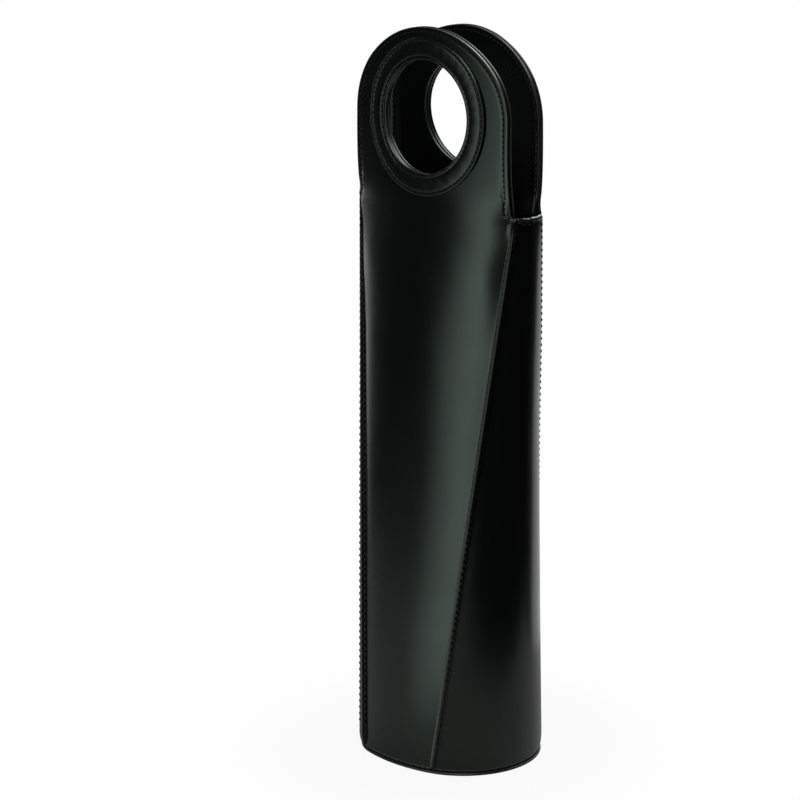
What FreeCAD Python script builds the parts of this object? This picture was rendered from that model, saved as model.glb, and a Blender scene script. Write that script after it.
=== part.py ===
import FreeCAD, Part
import math
import os
import Sketcher

Vector = FreeCAD.Vector
doc = FreeCAD.newDocument("bottle_carrier")
sheet = doc.addObject("Spreadsheet::Sheet", "Sizes")

# Driving sizes: millimetres, degrees for angles, plain numbers for shares
SIZES = {
    # Sheets
    "leather": 1.2,
    "lining": 0.8,
    "lining_gap": 0.1,
    "handle_board": 1.2,
    "ring_thickness": 1.5,
    "base_board": 2.0,
    # Wall corners where they stand on the welt
    "foot_corner_x": 26.0,
    "foot_corner_y": 39.8,
    "foot_panel_bulge": 4.0,
    "foot_gusset_bulge": 25.4,
    "foot_fin_angle": 68.0,
    # Wall corners at the shoulder
    "shoulder_step": 1.1,
    "shoulder_corner_y": 8.2,
    "shoulder_panel_bulge": 11.6,
    "shoulder_gusset_bulge": 1.2,
    "shoulder_fin_angle": 36.0,
    # Turned-out seams
    "fin_width": 3.0,
    "fin_foot_rise": 5.0,
    "fin_foot_margin": 0.3,
    # Fold between panel and handle
    "hinge_inset": 4.5,
    "fold_radius": 15.2,
    "fold_clearance": 0.4,
    "fold_width_share": 0.81,
    "cut_spare": 1.5,
    # Gusset top
    "gusset_drop": 7.2,
    "binding_rise": 3.0,
    "binding_overlap": 0.5,
    "binding_round": 0.4,
    # Base
    "sole_margin": 0.8,
    "welt_setback": 0.4,
    "welt_rise": 1.4,
    "board_clearance": 0.5,
    # Handle outline
    "total_height": 400.0,
    "handle_rise": 96.8,
    "handle_side_margin": 12.8,
    "crown_drop": 7.5,
    "crown_flatness": 5.0,
    "flare_width": 3.4,
    "flare_rise": 8.5,
    "ring_radius": 41.4,
    "ring_width": 11.3,
    "ring_top_margin": 5.4,
    # Handle sheets before their outline is cut
    "blank_margin": 1.6,
    "blank_drop": 7.2,
    "face_step": 0.3,
    "handle_lean": 3.7,
    "blank_top_bulge": 2.2,
    # Thread
    "thread_diameter": 0.7,
    "handle_stitch_pitch": 3.6,
    "seam_stitch_pitch": 4.4,
    "stitch_share": 0.66,
    "handle_stitch_inset": 2.6,
    "handle_row_start": 2.5,
    "ring_stitch_inset": 1.9,
    "seam_stitch_inset": 1.4,
    "seam_thread_end": 3.0,
    "hem_stitch_drop": 2.5,
    "hem_half_row": 5.0,
}
for row, (alias, number) in enumerate(SIZES.items(), 1):
    sheet.set("A%d" % row, alias)
    sheet.set("B%d" % row, "%g" % number)
    sheet.setAlias("B%d" % row, alias)
doc.recompute()


class Size:
    """A number from the sheet, or a sum of such numbers, with the formula that gives it."""

    def __init__(self, value, text):
        self.value = float(value)
        self.text = text

    def join(self, other, sign, value):
        return Size(value, "(%s %s %s)" % (self.text, sign, other.text))

    def __add__(self, other):
        other = plain(other)
        return self.join(other, "+", self.value + other.value)

    def __sub__(self, other):
        other = plain(other)
        return self.join(other, "-", self.value - other.value)

    def __mul__(self, other):
        other = plain(other)
        return self.join(other, "*", self.value * other.value)

    def __truediv__(self, other):
        other = plain(other)
        return self.join(other, "/", self.value / other.value)

    def __neg__(self):
        return Size(-self.value, "(0 - %s)" % self.text)


def plain(number):
    """A Size made from a plain number; a Size stays as it is."""
    if isinstance(number, Size):
        return number
    return Size(number, "%g" % number)


def size(alias):
    """The named value of the sheet."""
    return Size(getattr(sheet, alias), "Sizes." + alias)


def cosine(angle):
    """Cosine of an angle in degrees."""
    return Size(math.cos(math.radians(angle.value)), "cos(%s)" % angle.text)


def sine(angle):
    """Sine of an angle in degrees."""
    return Size(math.sin(math.radians(angle.value)), "sin(%s)" % angle.text)


def root(number):
    """Square root."""
    return Size(math.sqrt(number.value), "sqrt(%s)" % number.text)


def arc_radius(half_chord, rise):
    """Radius of the arc that rises by this much over this half chord."""
    return (half_chord * half_chord + rise * rise) / (rise * 2)


def shift(point, length, direction):
    """The point moved by a length along a direction."""
    return (point[0] + direction[0] * length, point[1] + direction[1] * length)


# Values used by several pieces
leather = size("leather")
lining = size("lining")
lining_depth = leather + size("lining_gap")
sole = leather
nothing = plain(0)
total_height = size("total_height")
shoulder_line = total_height - size("handle_rise")
fold_radius = size("fold_radius")
hinge_height = shoulder_line - fold_radius
hinge_depth = size("shoulder_corner_y") + size("hinge_inset")
cut_spare = size("cut_spare")
wall_top = shoulder_line + cut_spare
gusset_height = shoulder_line - size("gusset_drop")
ring_radius = size("ring_radius")
hole_radius = ring_radius - size("ring_width")
ring_height = total_height - size("ring_top_margin") - ring_radius
half_width = ring_radius + size("handle_side_margin")
crown_rise = half_width - size("crown_drop")
spring_height = total_height - crown_rise
side_radius = crown_rise - size("crown_flatness")
flare_width = size("flare_width")
flare_rise = size("flare_rise")


class Level:
    """The four wall corners, bulges and seam directions at one height."""

    def __init__(self, name, height, corner_x):
        self.height = height
        self.corner = (corner_x, size(name + "_corner_y"))
        self.panel_bulge = size(name + "_panel_bulge")
        self.gusset_bulge = size(name + "_gusset_bulge")
        angle = size(name + "_fin_angle")
        self.out = (cosine(angle), sine(angle))
        self.panel_side = (-sine(angle), cosine(angle))


foot = Level("foot", sole + size("welt_rise"), size("foot_corner_x"))
shoulder = Level("shoulder", wall_top, half_width + size("shoulder_step"))


def new_body(label):
    """An empty body for one piece."""
    body = doc.addObject("PartDesign::Body", label)
    body.Label = label
    return body


def new_sketch(body, name, role, lift=None):
    """A sketch on one of the body's own base planes, lifted along that plane's normal."""
    sketch = body.newObject("Sketcher::SketchObject", name)
    plane = [item for item in body.Origin.OriginFeatures if item.Role == role][0]
    sketch.AttachmentSupport = [(plane, "")]
    sketch.MapMode = "FlatFace"
    if lift is not None:
        sketch.AttachmentOffset = FreeCAD.Placement(Vector(0, 0, lift.value), FreeCAD.Rotation())
        sketch.setExpression("AttachmentOffset.Base.z", lift.text)
    return sketch


def fix(sketch, kind, parts, length):
    """One dimension of a sketch, bound to the sheet."""
    index = sketch.addConstraint(Sketcher.Constraint(kind, *parts, length.value))
    name = "size%d" % index
    sketch.renameConstraint(index, name)
    sketch.setExpression("Constraints." + name, length.text)


def add_loop(sketch, corners):
    """A closed outline: (x, y) corners, each with the (radius, turn) of the arc that follows or None.

    Turn is 1 for an arc that runs anticlockwise to the next corner and -1 for a clockwise one.
    """
    edges = []
    count = len(corners)
    for index, (x, y, arc) in enumerate(corners):
        after = corners[(index + 1) % count]
        start = Vector(x.value, y.value, 0)
        end = Vector(after[0].value, after[1].value, 0)
        if arc is None:
            edges.append((sketch.addGeometry(Part.LineSegment(start, end), False), 1, 2))
            continue
        radius, turn = arc
        chord = end - start
        half = chord.Length / 2
        reach = math.sqrt(max(radius.value ** 2 - half ** 2, 0))
        across = Vector(-chord.y, chord.x, 0)
        across.normalize()
        centre = (start + end) * 0.5 + across * (reach * turn)
        first, last = (start, end) if turn > 0 else (end, start)
        angles = [math.atan2(p.y - centre.y, p.x - centre.x) for p in (first, last)]
        circle = Part.Circle(centre, Vector(0, 0, 1), radius.value)
        number = sketch.addGeometry(Part.ArcOfCircle(circle, *angles), False)
        edges.append((number, 1, 2) if turn > 0 else (number, 2, 1))
    for index, (number, begin, finish) in enumerate(edges):
        follow, follow_begin, follow_finish = edges[(index + 1) % count]
        sketch.addConstraint(Sketcher.Constraint("Coincident", number, finish, follow, follow_begin))
    for (x, y, arc), (number, begin, finish) in zip(corners, edges):
        fix(sketch, "DistanceX", (-1, 1, number, begin), x)
        fix(sketch, "DistanceY", (-1, 1, number, begin), y)
        if arc is not None:
            fix(sketch, "Radius", (number,), arc[0])


def add_circle(sketch, x, y, radius):
    """A full circle."""
    circle = Part.Circle(Vector(x.value, y.value, 0), Vector(0, 0, 1), radius.value)
    number = sketch.addGeometry(circle, False)
    fix(sketch, "DistanceX", (-1, 1, number, 3), x)
    fix(sketch, "DistanceY", (-1, 1, number, 3), y)
    fix(sketch, "Radius", (number,), radius)


def add_frame(sketch, left, right, low, high):
    """A rectangle."""
    add_loop(sketch, [(left, low, None), (right, low, None), (right, high, None), (left, high, None)])


def loft_up(body, sections):
    """A sheet ruled from its lower section to its upper one."""
    sketches = []
    for index, (height, corners) in enumerate(sections):
        sketch = new_sketch(body, "%s_section_%d" % (body.Label, index), "XY_Plane", height)
        add_loop(sketch, corners)
        sketches.append(sketch)
    doc.recompute()
    loft = body.newObject("PartDesign::AdditiveLoft", body.Label + "_loft")
    loft.Profile = sketches[0]
    loft.Sections = sketches[1:]
    loft.Ruled = True
    doc.recompute()
    return body


def cut(body, sketch, length=None, reverse=False):
    """A pocket through the whole piece both ways, or to a length on one side."""
    doc.recompute()
    before = body.Shape.Volume
    pocket = body.newObject("PartDesign::Pocket", sketch.Name + "_cut")
    pocket.Profile = sketch
    if length is None:
        pocket.Type = "ThroughAll"
        pocket.Midplane = True
    else:
        pocket.setExpression("Length", length.text)
        pocket.Reversed = reverse
    doc.recompute()
    if not body.Shape.Volume < before:
        raise RuntimeError("%s takes nothing away" % pocket.Name)


def raise_pad(body, sketch, length):
    """A plate of this thickness above its sketch."""
    doc.recompute()
    pad = body.newObject("PartDesign::Pad", sketch.Name + "_pad")
    pad.Profile = sketch
    pad.setExpression("Length", length.text)
    doc.recompute()
    return pad


# Wall leathers: each is a ruled sheet whose edges turn out into the corner seams
def mitre(level, depth):
    """The point of the seam plane that lies this deep inside the corner."""
    return shift(level.corner, -depth, level.out)


def panel_corners(level, way):
    """Section of the front (way -1) or back (way 1) leather at one level."""
    tip = shift(level.corner, size("fin_width"), level.out)
    lip = shift(tip, leather, level.panel_side)
    turn = shift(level.corner, leather, level.panel_side)
    heel = mitre(level, leather)
    face = level.corner[1] + level.panel_bulge
    outer = (arc_radius(turn[0], face - turn[1]), way)
    inner = (arc_radius(heel[0], face - leather - heel[1]), -way)
    half = [(tip, None), (lip, None), (turn, outer)]
    corners = [(x, y * way, arc) for (x, y), arc in half]
    corners += [(-x, y * way, None) for x, y in (turn, lip, tip)]
    corners += [(-heel[0], heel[1] * way, inner), (heel[0], heel[1] * way, None)]
    return corners


def gusset_corners(level, hand):
    """Section of the right (hand 1) or left (hand -1) leather at one level."""
    tip = shift(level.corner, size("fin_width"), level.out)
    lip = shift(tip, -leather, level.panel_side)
    turn = shift(level.corner, -leather, level.panel_side)
    heel = mitre(level, leather)
    face = level.corner[0] + level.gusset_bulge
    outer = (arc_radius(turn[1], face - turn[0]), -hand)
    inner = (arc_radius(heel[1], face - leather - heel[0]), hand)
    half = [(tip, None), (lip, None), (turn, outer)]
    corners = [(x * hand, y, arc) for (x, y), arc in half]
    corners += [(x * hand, -y, None) for x, y in (turn, lip, tip)]
    corners += [(heel[0] * hand, -heel[1], inner), (heel[0] * hand, heel[1], None)]
    return corners


def panel_lining_corners(level, way):
    """Section of the lining that lies on the front or back leather."""
    near = mitre(level, lining_depth)
    far = mitre(level, lining_depth + lining)
    face = level.corner[1] + level.panel_bulge - lining_depth
    outer = (arc_radius(near[0], face - near[1]), way)
    inner = (arc_radius(far[0], face - lining - far[1]), -way)
    return [
        (near[0], near[1] * way, outer),
        (-near[0], near[1] * way, None),
        (-far[0], far[1] * way, inner),
        (far[0], far[1] * way, None),
    ]


def gusset_lining_corners(level, hand):
    """Section of the lining that lies on the right or left leather."""
    near = mitre(level, lining_depth)
    far = mitre(level, lining_depth + lining)
    face = level.corner[0] + level.gusset_bulge - lining_depth
    outer = (arc_radius(near[1], face - near[0]), -hand)
    inner = (arc_radius(far[1], face - lining - far[0]), hand)
    return [
        (near[0] * hand, near[1], outer),
        (near[0] * hand, -near[1], None),
        (far[0] * hand, -far[1], inner),
        (far[0] * hand, far[1], None),
    ]


def oval(grow):
    """The outline of the four walls on the welt, moved outward by this much."""
    corner = shift(foot.corner, grow, foot.out)
    front = foot.corner[1] + foot.panel_bulge + grow
    side = foot.corner[0] + foot.gusset_bulge + grow
    long_arc = (arc_radius(corner[0], front - corner[1]), 1)
    end_arc = (arc_radius(corner[1], side - corner[0]), 1)
    x, y = corner
    return [(x, y, long_arc), (-x, y, end_arc), (-x, -y, long_arc), (x, -y, end_arc)]


far_out = total_height


def trim_fin_feet(body):
    """The turned-out edges stop short of the foot."""
    sketch = new_sketch(body, body.Label + "_fin_feet", "XY_Plane", foot.height)
    add_frame(sketch, -far_out, far_out, -far_out, far_out)
    add_loop(sketch, oval(size("fin_foot_margin")))
    cut(body, sketch, size("fin_foot_rise"), True)


def trim_to_fold(body, way):
    """The wall's top follows a round about the fold line, just clear of the handle."""
    reach = fold_radius - size("fold_clearance")
    half = reach * size("fold_width_share")
    low = hinge_height + root(reach * reach - half * half)
    high = wall_top + cut_spare
    near = (hinge_depth - half) * way
    far = (hinge_depth + half) * way
    sketch = new_sketch(body, body.Label + "_fold", "YZ_Plane")
    add_loop(sketch, [(near, low, (reach, -way)), (far, low, None), (far, high, None), (near, high, None)])
    cut(body, sketch)


def trim_to_gusset(body):
    """The gusset and its lining stop below the fold."""
    sketch = new_sketch(body, body.Label + "_top", "XY_Plane", gusset_height)
    add_frame(sketch, -far_out, far_out, -far_out, far_out)
    cut(body, sketch, total_height, True)


for side, way in (("front", -1), ("back", 1)):
    panel = new_body(side + "_panel")
    loft_up(panel, [(item.height, panel_corners(item, way)) for item in (foot, shoulder)])
    trim_fin_feet(panel)
    trim_to_fold(panel, way)
    inside = new_body(side + "_lining")
    loft_up(inside, [(item.height, panel_lining_corners(item, way)) for item in (foot, shoulder)])
    trim_to_fold(inside, way)

for side, hand in (("right", 1), ("left", -1)):
    gusset = new_body(side + "_gusset")
    loft_up(gusset, [(item.height, gusset_corners(item, hand)) for item in (foot, shoulder)])
    trim_fin_feet(gusset)
    trim_to_gusset(gusset)
    inside = new_body(side + "_lining")
    loft_up(inside, [(item.height, gusset_lining_corners(item, hand)) for item in (foot, shoulder)])
    trim_to_gusset(inside)

# Bindings: rounded leather strips along the top edge of each gusset
overlap = size("binding_overlap")
for side, hand in (("right", 1), ("left", -1)):
    near = mitre(shoulder, leather)
    far = mitre(shoulder, lining_depth + lining + overlap)
    face = shoulder.corner[0] + shoulder.gusset_bulge + overlap
    back_face = face - lining_depth - lining - overlap * 2
    outer = (arc_radius(near[1], face - near[0]), -hand)
    inner = (arc_radius(far[1], back_face - far[0]), hand)
    binding = new_body(side + "_binding")
    strip = new_sketch(binding, side + "_binding_strip", "XY_Plane", gusset_height)
    add_loop(strip, [
        (near[0] * hand, near[1], outer),
        (near[0] * hand, -near[1], None),
        (far[0] * hand, -far[1], inner),
        (far[0] * hand, far[1], None),
    ])
    pad = raise_pad(binding, strip, size("binding_rise"))
    crest = gusset_height.value + size("binding_rise").value
    rims = []
    for index, edge in enumerate(pad.Shape.Edges, 1):
        level_edge = abs(edge.BoundBox.ZMin - crest) < leather.value / 100
        if level_edge and edge.Curve.TypeId == "Part::GeomCircle":
            rims.append("Edge%d" % index)
    rounding = binding.newObject("PartDesign::Fillet", side + "_binding_rounding")
    rounding.Base = (pad, rims)
    rounding.setExpression("Radius", "Sizes.binding_round")
    doc.recompute()

# Base: sole, welt set back between the sole and the walls, board and its lining
wall_depth = lining_depth + lining
welt_setback = size("welt_setback")
plate = new_body("base_sole")
outline = new_sketch(plate, "base_sole_outline", "XY_Plane")
add_loop(outline, oval(size("sole_margin")))
raise_pad(plate, outline, sole)

welt = new_body("base_welt")
outline = new_sketch(welt, "base_welt_outline", "XY_Plane", sole)
add_loop(outline, oval(-welt_setback))
add_loop(outline, oval(-wall_depth))
raise_pad(welt, outline, size("welt_rise"))

inset = wall_depth + size("board_clearance")
board = new_body("base_board")
outline = new_sketch(board, "base_board_outline", "XY_Plane", sole)
add_loop(outline, oval(-inset))
raise_pad(board, outline, size("base_board"))

floor_lining = new_body("base_lining")
outline = new_sketch(floor_lining, "base_lining_outline", "XY_Plane", sole + size("base_board"))
add_loop(outline, oval(-inset))
raise_pad(floor_lining, outline, lining)


# Handle sheets: ruled sheets cut to one outline, with a round hand hole
blank_half = half_width + flare_width + size("blank_margin")
blank_low = shoulder_line - size("blank_drop")
blank_top = total_height + cut_spare
reach = blank_half / shoulder.corner[0]
low_face = shoulder.corner[1] + shoulder.panel_bulge + size("face_step")
low_bulge = shoulder.panel_bulge * reach * reach
top_face = low_face - size("handle_lean")
top_bulge = size("blank_top_bulge")
crown_radius = (
    ((half_width - side_radius) * (half_width - side_radius)
     + crown_rise * crown_rise
     - side_radius * side_radius)
    / ((crown_rise - side_radius) * 2)
)
crown_centre = total_height - crown_radius
spread = crown_radius / (crown_radius - side_radius)
crown_end = ((half_width - side_radius) * spread, crown_centre + (spring_height - crown_centre) * spread)
flare_foot = shoulder_line
flare_top = flare_foot + flare_rise
flare_radius = (flare_width * flare_width + flare_rise * flare_rise) / (flare_width * 2)


def blank_corners(face, bulge, outer_depth, inner_depth, way):
    """Section of one handle sheet between two depths under the outer face."""
    radius = arc_radius(blank_half, bulge)
    outer = face - bulge - outer_depth
    inner = face - bulge - inner_depth
    return [
        (blank_half, outer * way, (radius, way)),
        (-blank_half, outer * way, None),
        (-blank_half, inner * way, (radius, -way)),
        (blank_half, inner * way, None),
    ]


def handle_blank(body, outer_depth, inner_depth, way):
    """A handle sheet before its outline is cut."""
    low = blank_corners(low_face, low_bulge, outer_depth, inner_depth, way)
    top = blank_corners(top_face, top_bulge, outer_depth, inner_depth, way)
    loft_up(body, [(blank_low, low), (blank_top, top)])


def handle_outline():
    """Flared foot, straight sides and a crown of three arcs."""
    low = blank_low - cut_spare
    wide = half_width + flare_width
    end_x, end_z = crown_end
    return [
        (wide, low, None),
        (wide, flare_foot, (flare_radius, -1)),
        (half_width, flare_top, None),
        (half_width, spring_height, (side_radius, 1)),
        (end_x, end_z, (crown_radius, 1)),
        (-end_x, end_z, (side_radius, 1)),
        (-half_width, spring_height, None),
        (-half_width, flare_top, (flare_radius, -1)),
        (-wide, flare_foot, None),
        (-wide, low, None),
    ]


board_depth = leather + size("handle_board")
facing_depth = board_depth + leather
for side, way in (("front", -1), ("back", 1)):
    layers = (
        ("handle_leather", nothing, leather),
        ("handle_board", leather, board_depth),
        ("handle_facing", board_depth, facing_depth),
    )
    for name, outer_depth, inner_depth in layers:
        sheet_body = new_body(side + "_" + name)
        handle_blank(sheet_body, outer_depth, inner_depth, way)
        outline = new_sketch(sheet_body, sheet_body.Label + "_outline", "XZ_Plane")
        add_frame(outline, -far_out, far_out, nothing, total_height * 2)
        add_loop(outline, handle_outline())
        add_circle(outline, nothing, ring_height, hole_radius)
        cut(sheet_body, outline)
        fold = new_sketch(sheet_body, sheet_body.Label + "_fold", "YZ_Plane")
        add_circle(fold, hinge_depth * way, hinge_height, fold_radius)
        cut(sheet_body, fold)
    patch = new_body(side + "_ring_patch")
    handle_blank(patch, -size("ring_thickness"), nothing, way)
    outline = new_sketch(patch, side + "_ring_patch_outline", "XZ_Plane")
    add_frame(outline, -far_out, far_out, nothing, total_height * 2)
    add_circle(outline, nothing, ring_height, ring_radius)
    add_circle(outline, nothing, ring_height, hole_radius)
    cut(patch, outline)


# Stitches: short thread lengths half sunk in the leather, one group for each row
thread_radius = size("thread_diameter").value / 2
thread_groups = {}


def walk(points, pitch):
    """Evenly spaced places on a polyline, each with its direction."""
    lengths = [(b - a).Length for a, b in zip(points, points[1:])]
    total = sum(lengths)
    count = max(int(total / pitch), 1)
    step = total / count
    found = []
    segment = 0
    passed = 0.0
    for number in range(count):
        target = step * (number + 0.5)
        while segment < len(lengths) - 1 and passed + lengths[segment] < target:
            passed += lengths[segment]
            segment += 1
        start, end = points[segment], points[segment + 1]
        direction = (end - start) * (1 / lengths[segment])
        found.append((start + direction * (target - passed), direction))
    return found


def stitch(group, place, direction, pitch):
    """One thread length centred on a place."""
    length = pitch * size("stitch_share").value
    base = place - direction * (length / 2)
    thread_groups.setdefault(group, []).append(Part.makeCylinder(thread_radius, length, base, direction))


def handle_face(x, z, depth, way):
    """Point of a handle sheet at a depth under the outer face."""
    share = (z - blank_low.value) / (blank_top.value - blank_low.value)
    face = low_face.value * (1 - share) + top_face.value * share
    bulge = low_bulge.value * (1 - share) + top_bulge.value * share
    radius = (blank_half.value ** 2 + bulge ** 2) / (2 * bulge)
    fall = radius - math.sqrt(radius ** 2 - x ** 2)
    return Vector(x, (face - fall - depth) * way, z)


def arc_points(x, z, radius, start, end, count):
    """Points of an arc in the plane of the handle, angles in degrees."""
    turns = [math.radians(start + (end - start) * number / count) for number in range(count + 1)]
    return [(x + radius * math.cos(turn), z + radius * math.sin(turn)) for turn in turns]


def edge_row():
    """The row of stitches that follows the handle's outline."""
    inset = size("handle_stitch_inset").value
    join = math.degrees(math.atan2(crown_end[1].value - spring_height.value,
                                   crown_end[0].value - half_width.value + side_radius.value))
    wide = half_width.value + flare_radius.value
    climb = flare_rise.value - size("handle_row_start").value
    low = math.degrees(math.asin(climb / (flare_radius.value + inset)))
    right = arc_points(wide, flare_top.value, flare_radius.value + inset, 180 + low, 180, 12)
    side_x = half_width.value - side_radius.value
    right += arc_points(side_x, spring_height.value, side_radius.value - inset, 0, join, 24)
    right += arc_points(0, crown_centre.value, crown_radius.value - inset, join, 90, 16)[1:]
    return right + [(-x, z) for x, z in reversed(right[:-1])]


dent = thread_radius / 2
handle_pitch = size("handle_stitch_pitch").value
ring_inset = size("ring_stitch_inset").value
depth_out = -dent
depth_in = facing_depth.value + dent
depth_ring = -size("ring_thickness").value - dent
outer_row = arc_points(0, ring_height.value, ring_radius.value - ring_inset, 0, 360, 180)
inner_row = arc_points(0, ring_height.value, hole_radius.value + ring_inset, 0, 360, 180)
for side, way in (("front", -1), ("back", 1)):
    rows = (
        (side + "_handle_edge_thread", edge_row(), (depth_out, depth_in)),
        (side + "_ring_outer_thread", outer_row, (depth_ring, depth_in)),
        (side + "_ring_inner_thread", inner_row, (depth_ring, depth_in)),
    )
    for group, flat_row, depths in rows:
        for depth in depths:
            row_points = [handle_face(x, z, depth, way) for x, z in flat_row]
            for place, direction in walk(row_points, handle_pitch):
                stitch(group, place, direction, handle_pitch)

seam_pitch = size("seam_stitch_pitch").value
seam_reach = size("fin_width") - size("seam_stitch_inset")
seam_end = size("seam_thread_end").value
for side, way in (("front", -1), ("back", 1)):
    for edge, hand in (("right", 1), ("left", -1)):
        for across in (1, -1):
            ends = []
            for item in (foot, shoulder):
                flat = shift(item.corner, seam_reach, item.out)
                flat = shift(flat, plain((leather.value + dent) * across), item.panel_side)
                ends.append(Vector(flat[0].value * hand, flat[1].value * way, item.height.value))
            rise = ends[1].z - ends[0].z
            low_share = (size("fin_foot_rise").value + seam_end) / rise
            high_share = (gusset_height.value - seam_end - ends[0].z) / rise
            span = ends[1] - ends[0]
            run = [ends[0] + span * low_share, ends[0] + span * high_share]
            for place, direction in walk(run, seam_pitch):
                stitch("%s_%s_seam_thread" % (side, edge), place, direction, seam_pitch)

welt_middle = sole.value + size("welt_rise").value / 2
welt_row = []
welt_face = oval(plain(dent) - welt_setback)
for index, (x, y, arc) in enumerate(welt_face):
    after = welt_face[(index + 1) % len(welt_face)]
    start = Vector(x.value, y.value, welt_middle)
    end = Vector(after[0].value, after[1].value, welt_middle)
    chord = end - start
    radius = arc[0].value
    reach = math.sqrt(radius ** 2 - (chord.Length / 2) ** 2)
    middle = (start + end) * 0.5
    inward = Vector(-chord.y, chord.x, 0)
    inward.normalize()
    centre = middle + inward * reach
    crest = centre - inward * radius
    curve = Part.Arc(start, crest, end).toShape()
    welt_row += curve.discretize(60)[:-1]
welt_row.append(welt_row[0])
for place, direction in walk(welt_row, seam_pitch):
    stitch("base_welt_thread", place, direction, seam_pitch)

hem_half = size("hem_half_row").value
for edge, hand in (("right", 1), ("left", -1)):
    height = gusset_height.value - size("hem_stitch_drop").value
    share = (height - foot.height.value) / (shoulder.height.value - foot.height.value)
    wide_face = foot.corner[0].value + foot.gusset_bulge.value
    narrow_face = shoulder.corner[0].value + shoulder.gusset_bulge.value
    face = wide_face * (1 - share) + narrow_face * share
    run = [Vector((face + dent) * hand, y, height) for y in (-hem_half, hem_half)]
    for place, direction in walk(run, seam_pitch):
        stitch(edge + "_hem_thread", place, direction, seam_pitch)

for name, lengths in thread_groups.items():
    group = doc.addObject("Part::Feature", name)
    group.Label = name
    group.Shape = Part.makeCompound(lengths)
    group.Placement = FreeCAD.Placement()

# Every piece is checked and written to its own file
doc.recompute()
pieces = [item for item in doc.Objects if item.TypeId in ("PartDesign::Body", "Part::Feature")]
for item in doc.Objects:
    if "Invalid" in item.State or "Error" in item.State:
        raise RuntimeError("%s is not sound: %s" % (item.Label, item.State))
os.makedirs("parts", exist_ok=True)
for item in pieces:
    if item.Shape.isNull() or not item.Shape.isValid():
        raise RuntimeError("%s has no valid shape" % item.Label)
    item.Shape.exportStep("parts/%s.step" % item.Label)
    box = item.Shape.BoundBox
    print("%-26s solids %3d volume %10.2f z %7.2f to %7.2f x %7.2f y %7.2f to %7.2f" % (
        item.Label, len(item.Shape.Solids), item.Shape.Volume, box.ZMin, box.ZMax, box.XMax, box.YMin, box.YMax))
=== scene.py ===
import bmesh
import bpy
import numpy as np
from mathutils import Euler, Matrix, Vector


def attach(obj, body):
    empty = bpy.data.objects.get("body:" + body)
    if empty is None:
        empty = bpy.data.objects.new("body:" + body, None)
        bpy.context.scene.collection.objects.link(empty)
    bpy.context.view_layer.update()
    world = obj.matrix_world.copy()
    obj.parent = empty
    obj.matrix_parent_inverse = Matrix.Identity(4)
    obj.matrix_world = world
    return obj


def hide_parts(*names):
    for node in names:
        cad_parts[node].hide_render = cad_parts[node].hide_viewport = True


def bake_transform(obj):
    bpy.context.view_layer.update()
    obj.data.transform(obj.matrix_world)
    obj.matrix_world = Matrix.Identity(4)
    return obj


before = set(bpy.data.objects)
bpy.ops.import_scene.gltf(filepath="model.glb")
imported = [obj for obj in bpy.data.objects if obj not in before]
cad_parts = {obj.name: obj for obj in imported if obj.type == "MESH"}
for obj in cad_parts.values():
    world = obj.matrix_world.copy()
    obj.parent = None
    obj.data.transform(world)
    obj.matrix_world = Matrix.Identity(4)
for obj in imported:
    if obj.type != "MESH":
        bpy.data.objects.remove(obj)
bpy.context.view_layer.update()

# Sizes are in millimetres, in the frame's own axes: x to the right, y to the back, z up. Only the
# studio's are in metres. A pair of heights for a smooth step names where it starts and where it ends.

# Base sole: an oval of stiff black leather, cut a little larger than the walls, its edge rounded by
# hand and painted. The walls stand on it, and its rim shows as a thin lip round the foot.
MILLIMETRE = 0.001
WELD = 1e-6
FOOT = dict(z=2.6, corner_x=26.0, corner_y=39.8, panel_y=43.8, gusset_x=51.1, seam_angle=68.0)
FOOT_SWAY = 2.3
OVAL_POINTS, OVAL_SOFTNESS = 320, 5
SOLE_MARGIN, SOLE_THICKNESS = 0.8, 1.5
SOLE_EDGE, SOLE_EDGE_STEPS = 0.7, 9
SOLE_FLAT_SHARES = np.linspace(0, 0.94, 6)


def unit(vectors):
    """Each vector divided by its own length."""
    return vectors / np.linalg.norm(vectors, axis=-1, keepdims=True)


def length_along(path):
    """Length of a path up to each of its points: the steps between them, added up."""
    return np.concatenate([[0], np.cumsum(np.linalg.norm(np.diff(path, axis=0), axis=1))])


def values_at(values, length, where):
    """Rows of values that belong to a path's lengths, read in a straight line at other lengths."""
    return np.stack([np.interp(where, length, column) for column in values.T], axis=-1)


def arc_of(half_chord, bulge):
    """Circle's arc over a chord: its radius is the sum of the squares of half chord and bulge, over twice
    the bulge, and half its opening angle is twice the arc tangent of bulge over half chord."""
    return (half_chord ** 2 + bulge ** 2) / (2 * bulge), 2 * np.arctan(bulge / half_chord)


def foot_oval():
    """The foot's outline, anticlockwise: a parabola along the front, a circle's arc round each side, the
    right one fuller, spread evenly by length, with the four corners softened by a running mean."""
    half_x, half_y, front_y = FOOT["corner_x"], FOOT["corner_y"], FOOT["panel_y"]
    x = np.linspace(-half_x, half_x, OVAL_POINTS)
    front = np.stack([x, (front_y - half_y) * (x / half_x) ** 2 - front_y], axis=1)
    sides = []
    for reach in (FOOT["gusset_x"] + FOOT_SWAY, FOOT["gusset_x"] - FOOT_SWAY):
        radius, swing = arc_of(half_y, reach - half_x)
        angle = np.linspace(-1, 1, OVAL_POINTS) * swing
        sides.append(np.stack([reach - radius + radius * np.cos(angle), radius * np.sin(angle)], axis=1))
    rough = np.concatenate([front[:-1], sides[0][:-1], -front[:-1], -sides[1]])
    length = length_along(rough)
    loop = values_at(rough, length, np.linspace(0, length[-1], OVAL_POINTS, endpoint=False))
    steps = range(-OVAL_SOFTNESS, OVAL_SOFTNESS + 1)
    return np.mean([np.roll(loop, step, axis=0) for step in steps], axis=0)


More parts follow.
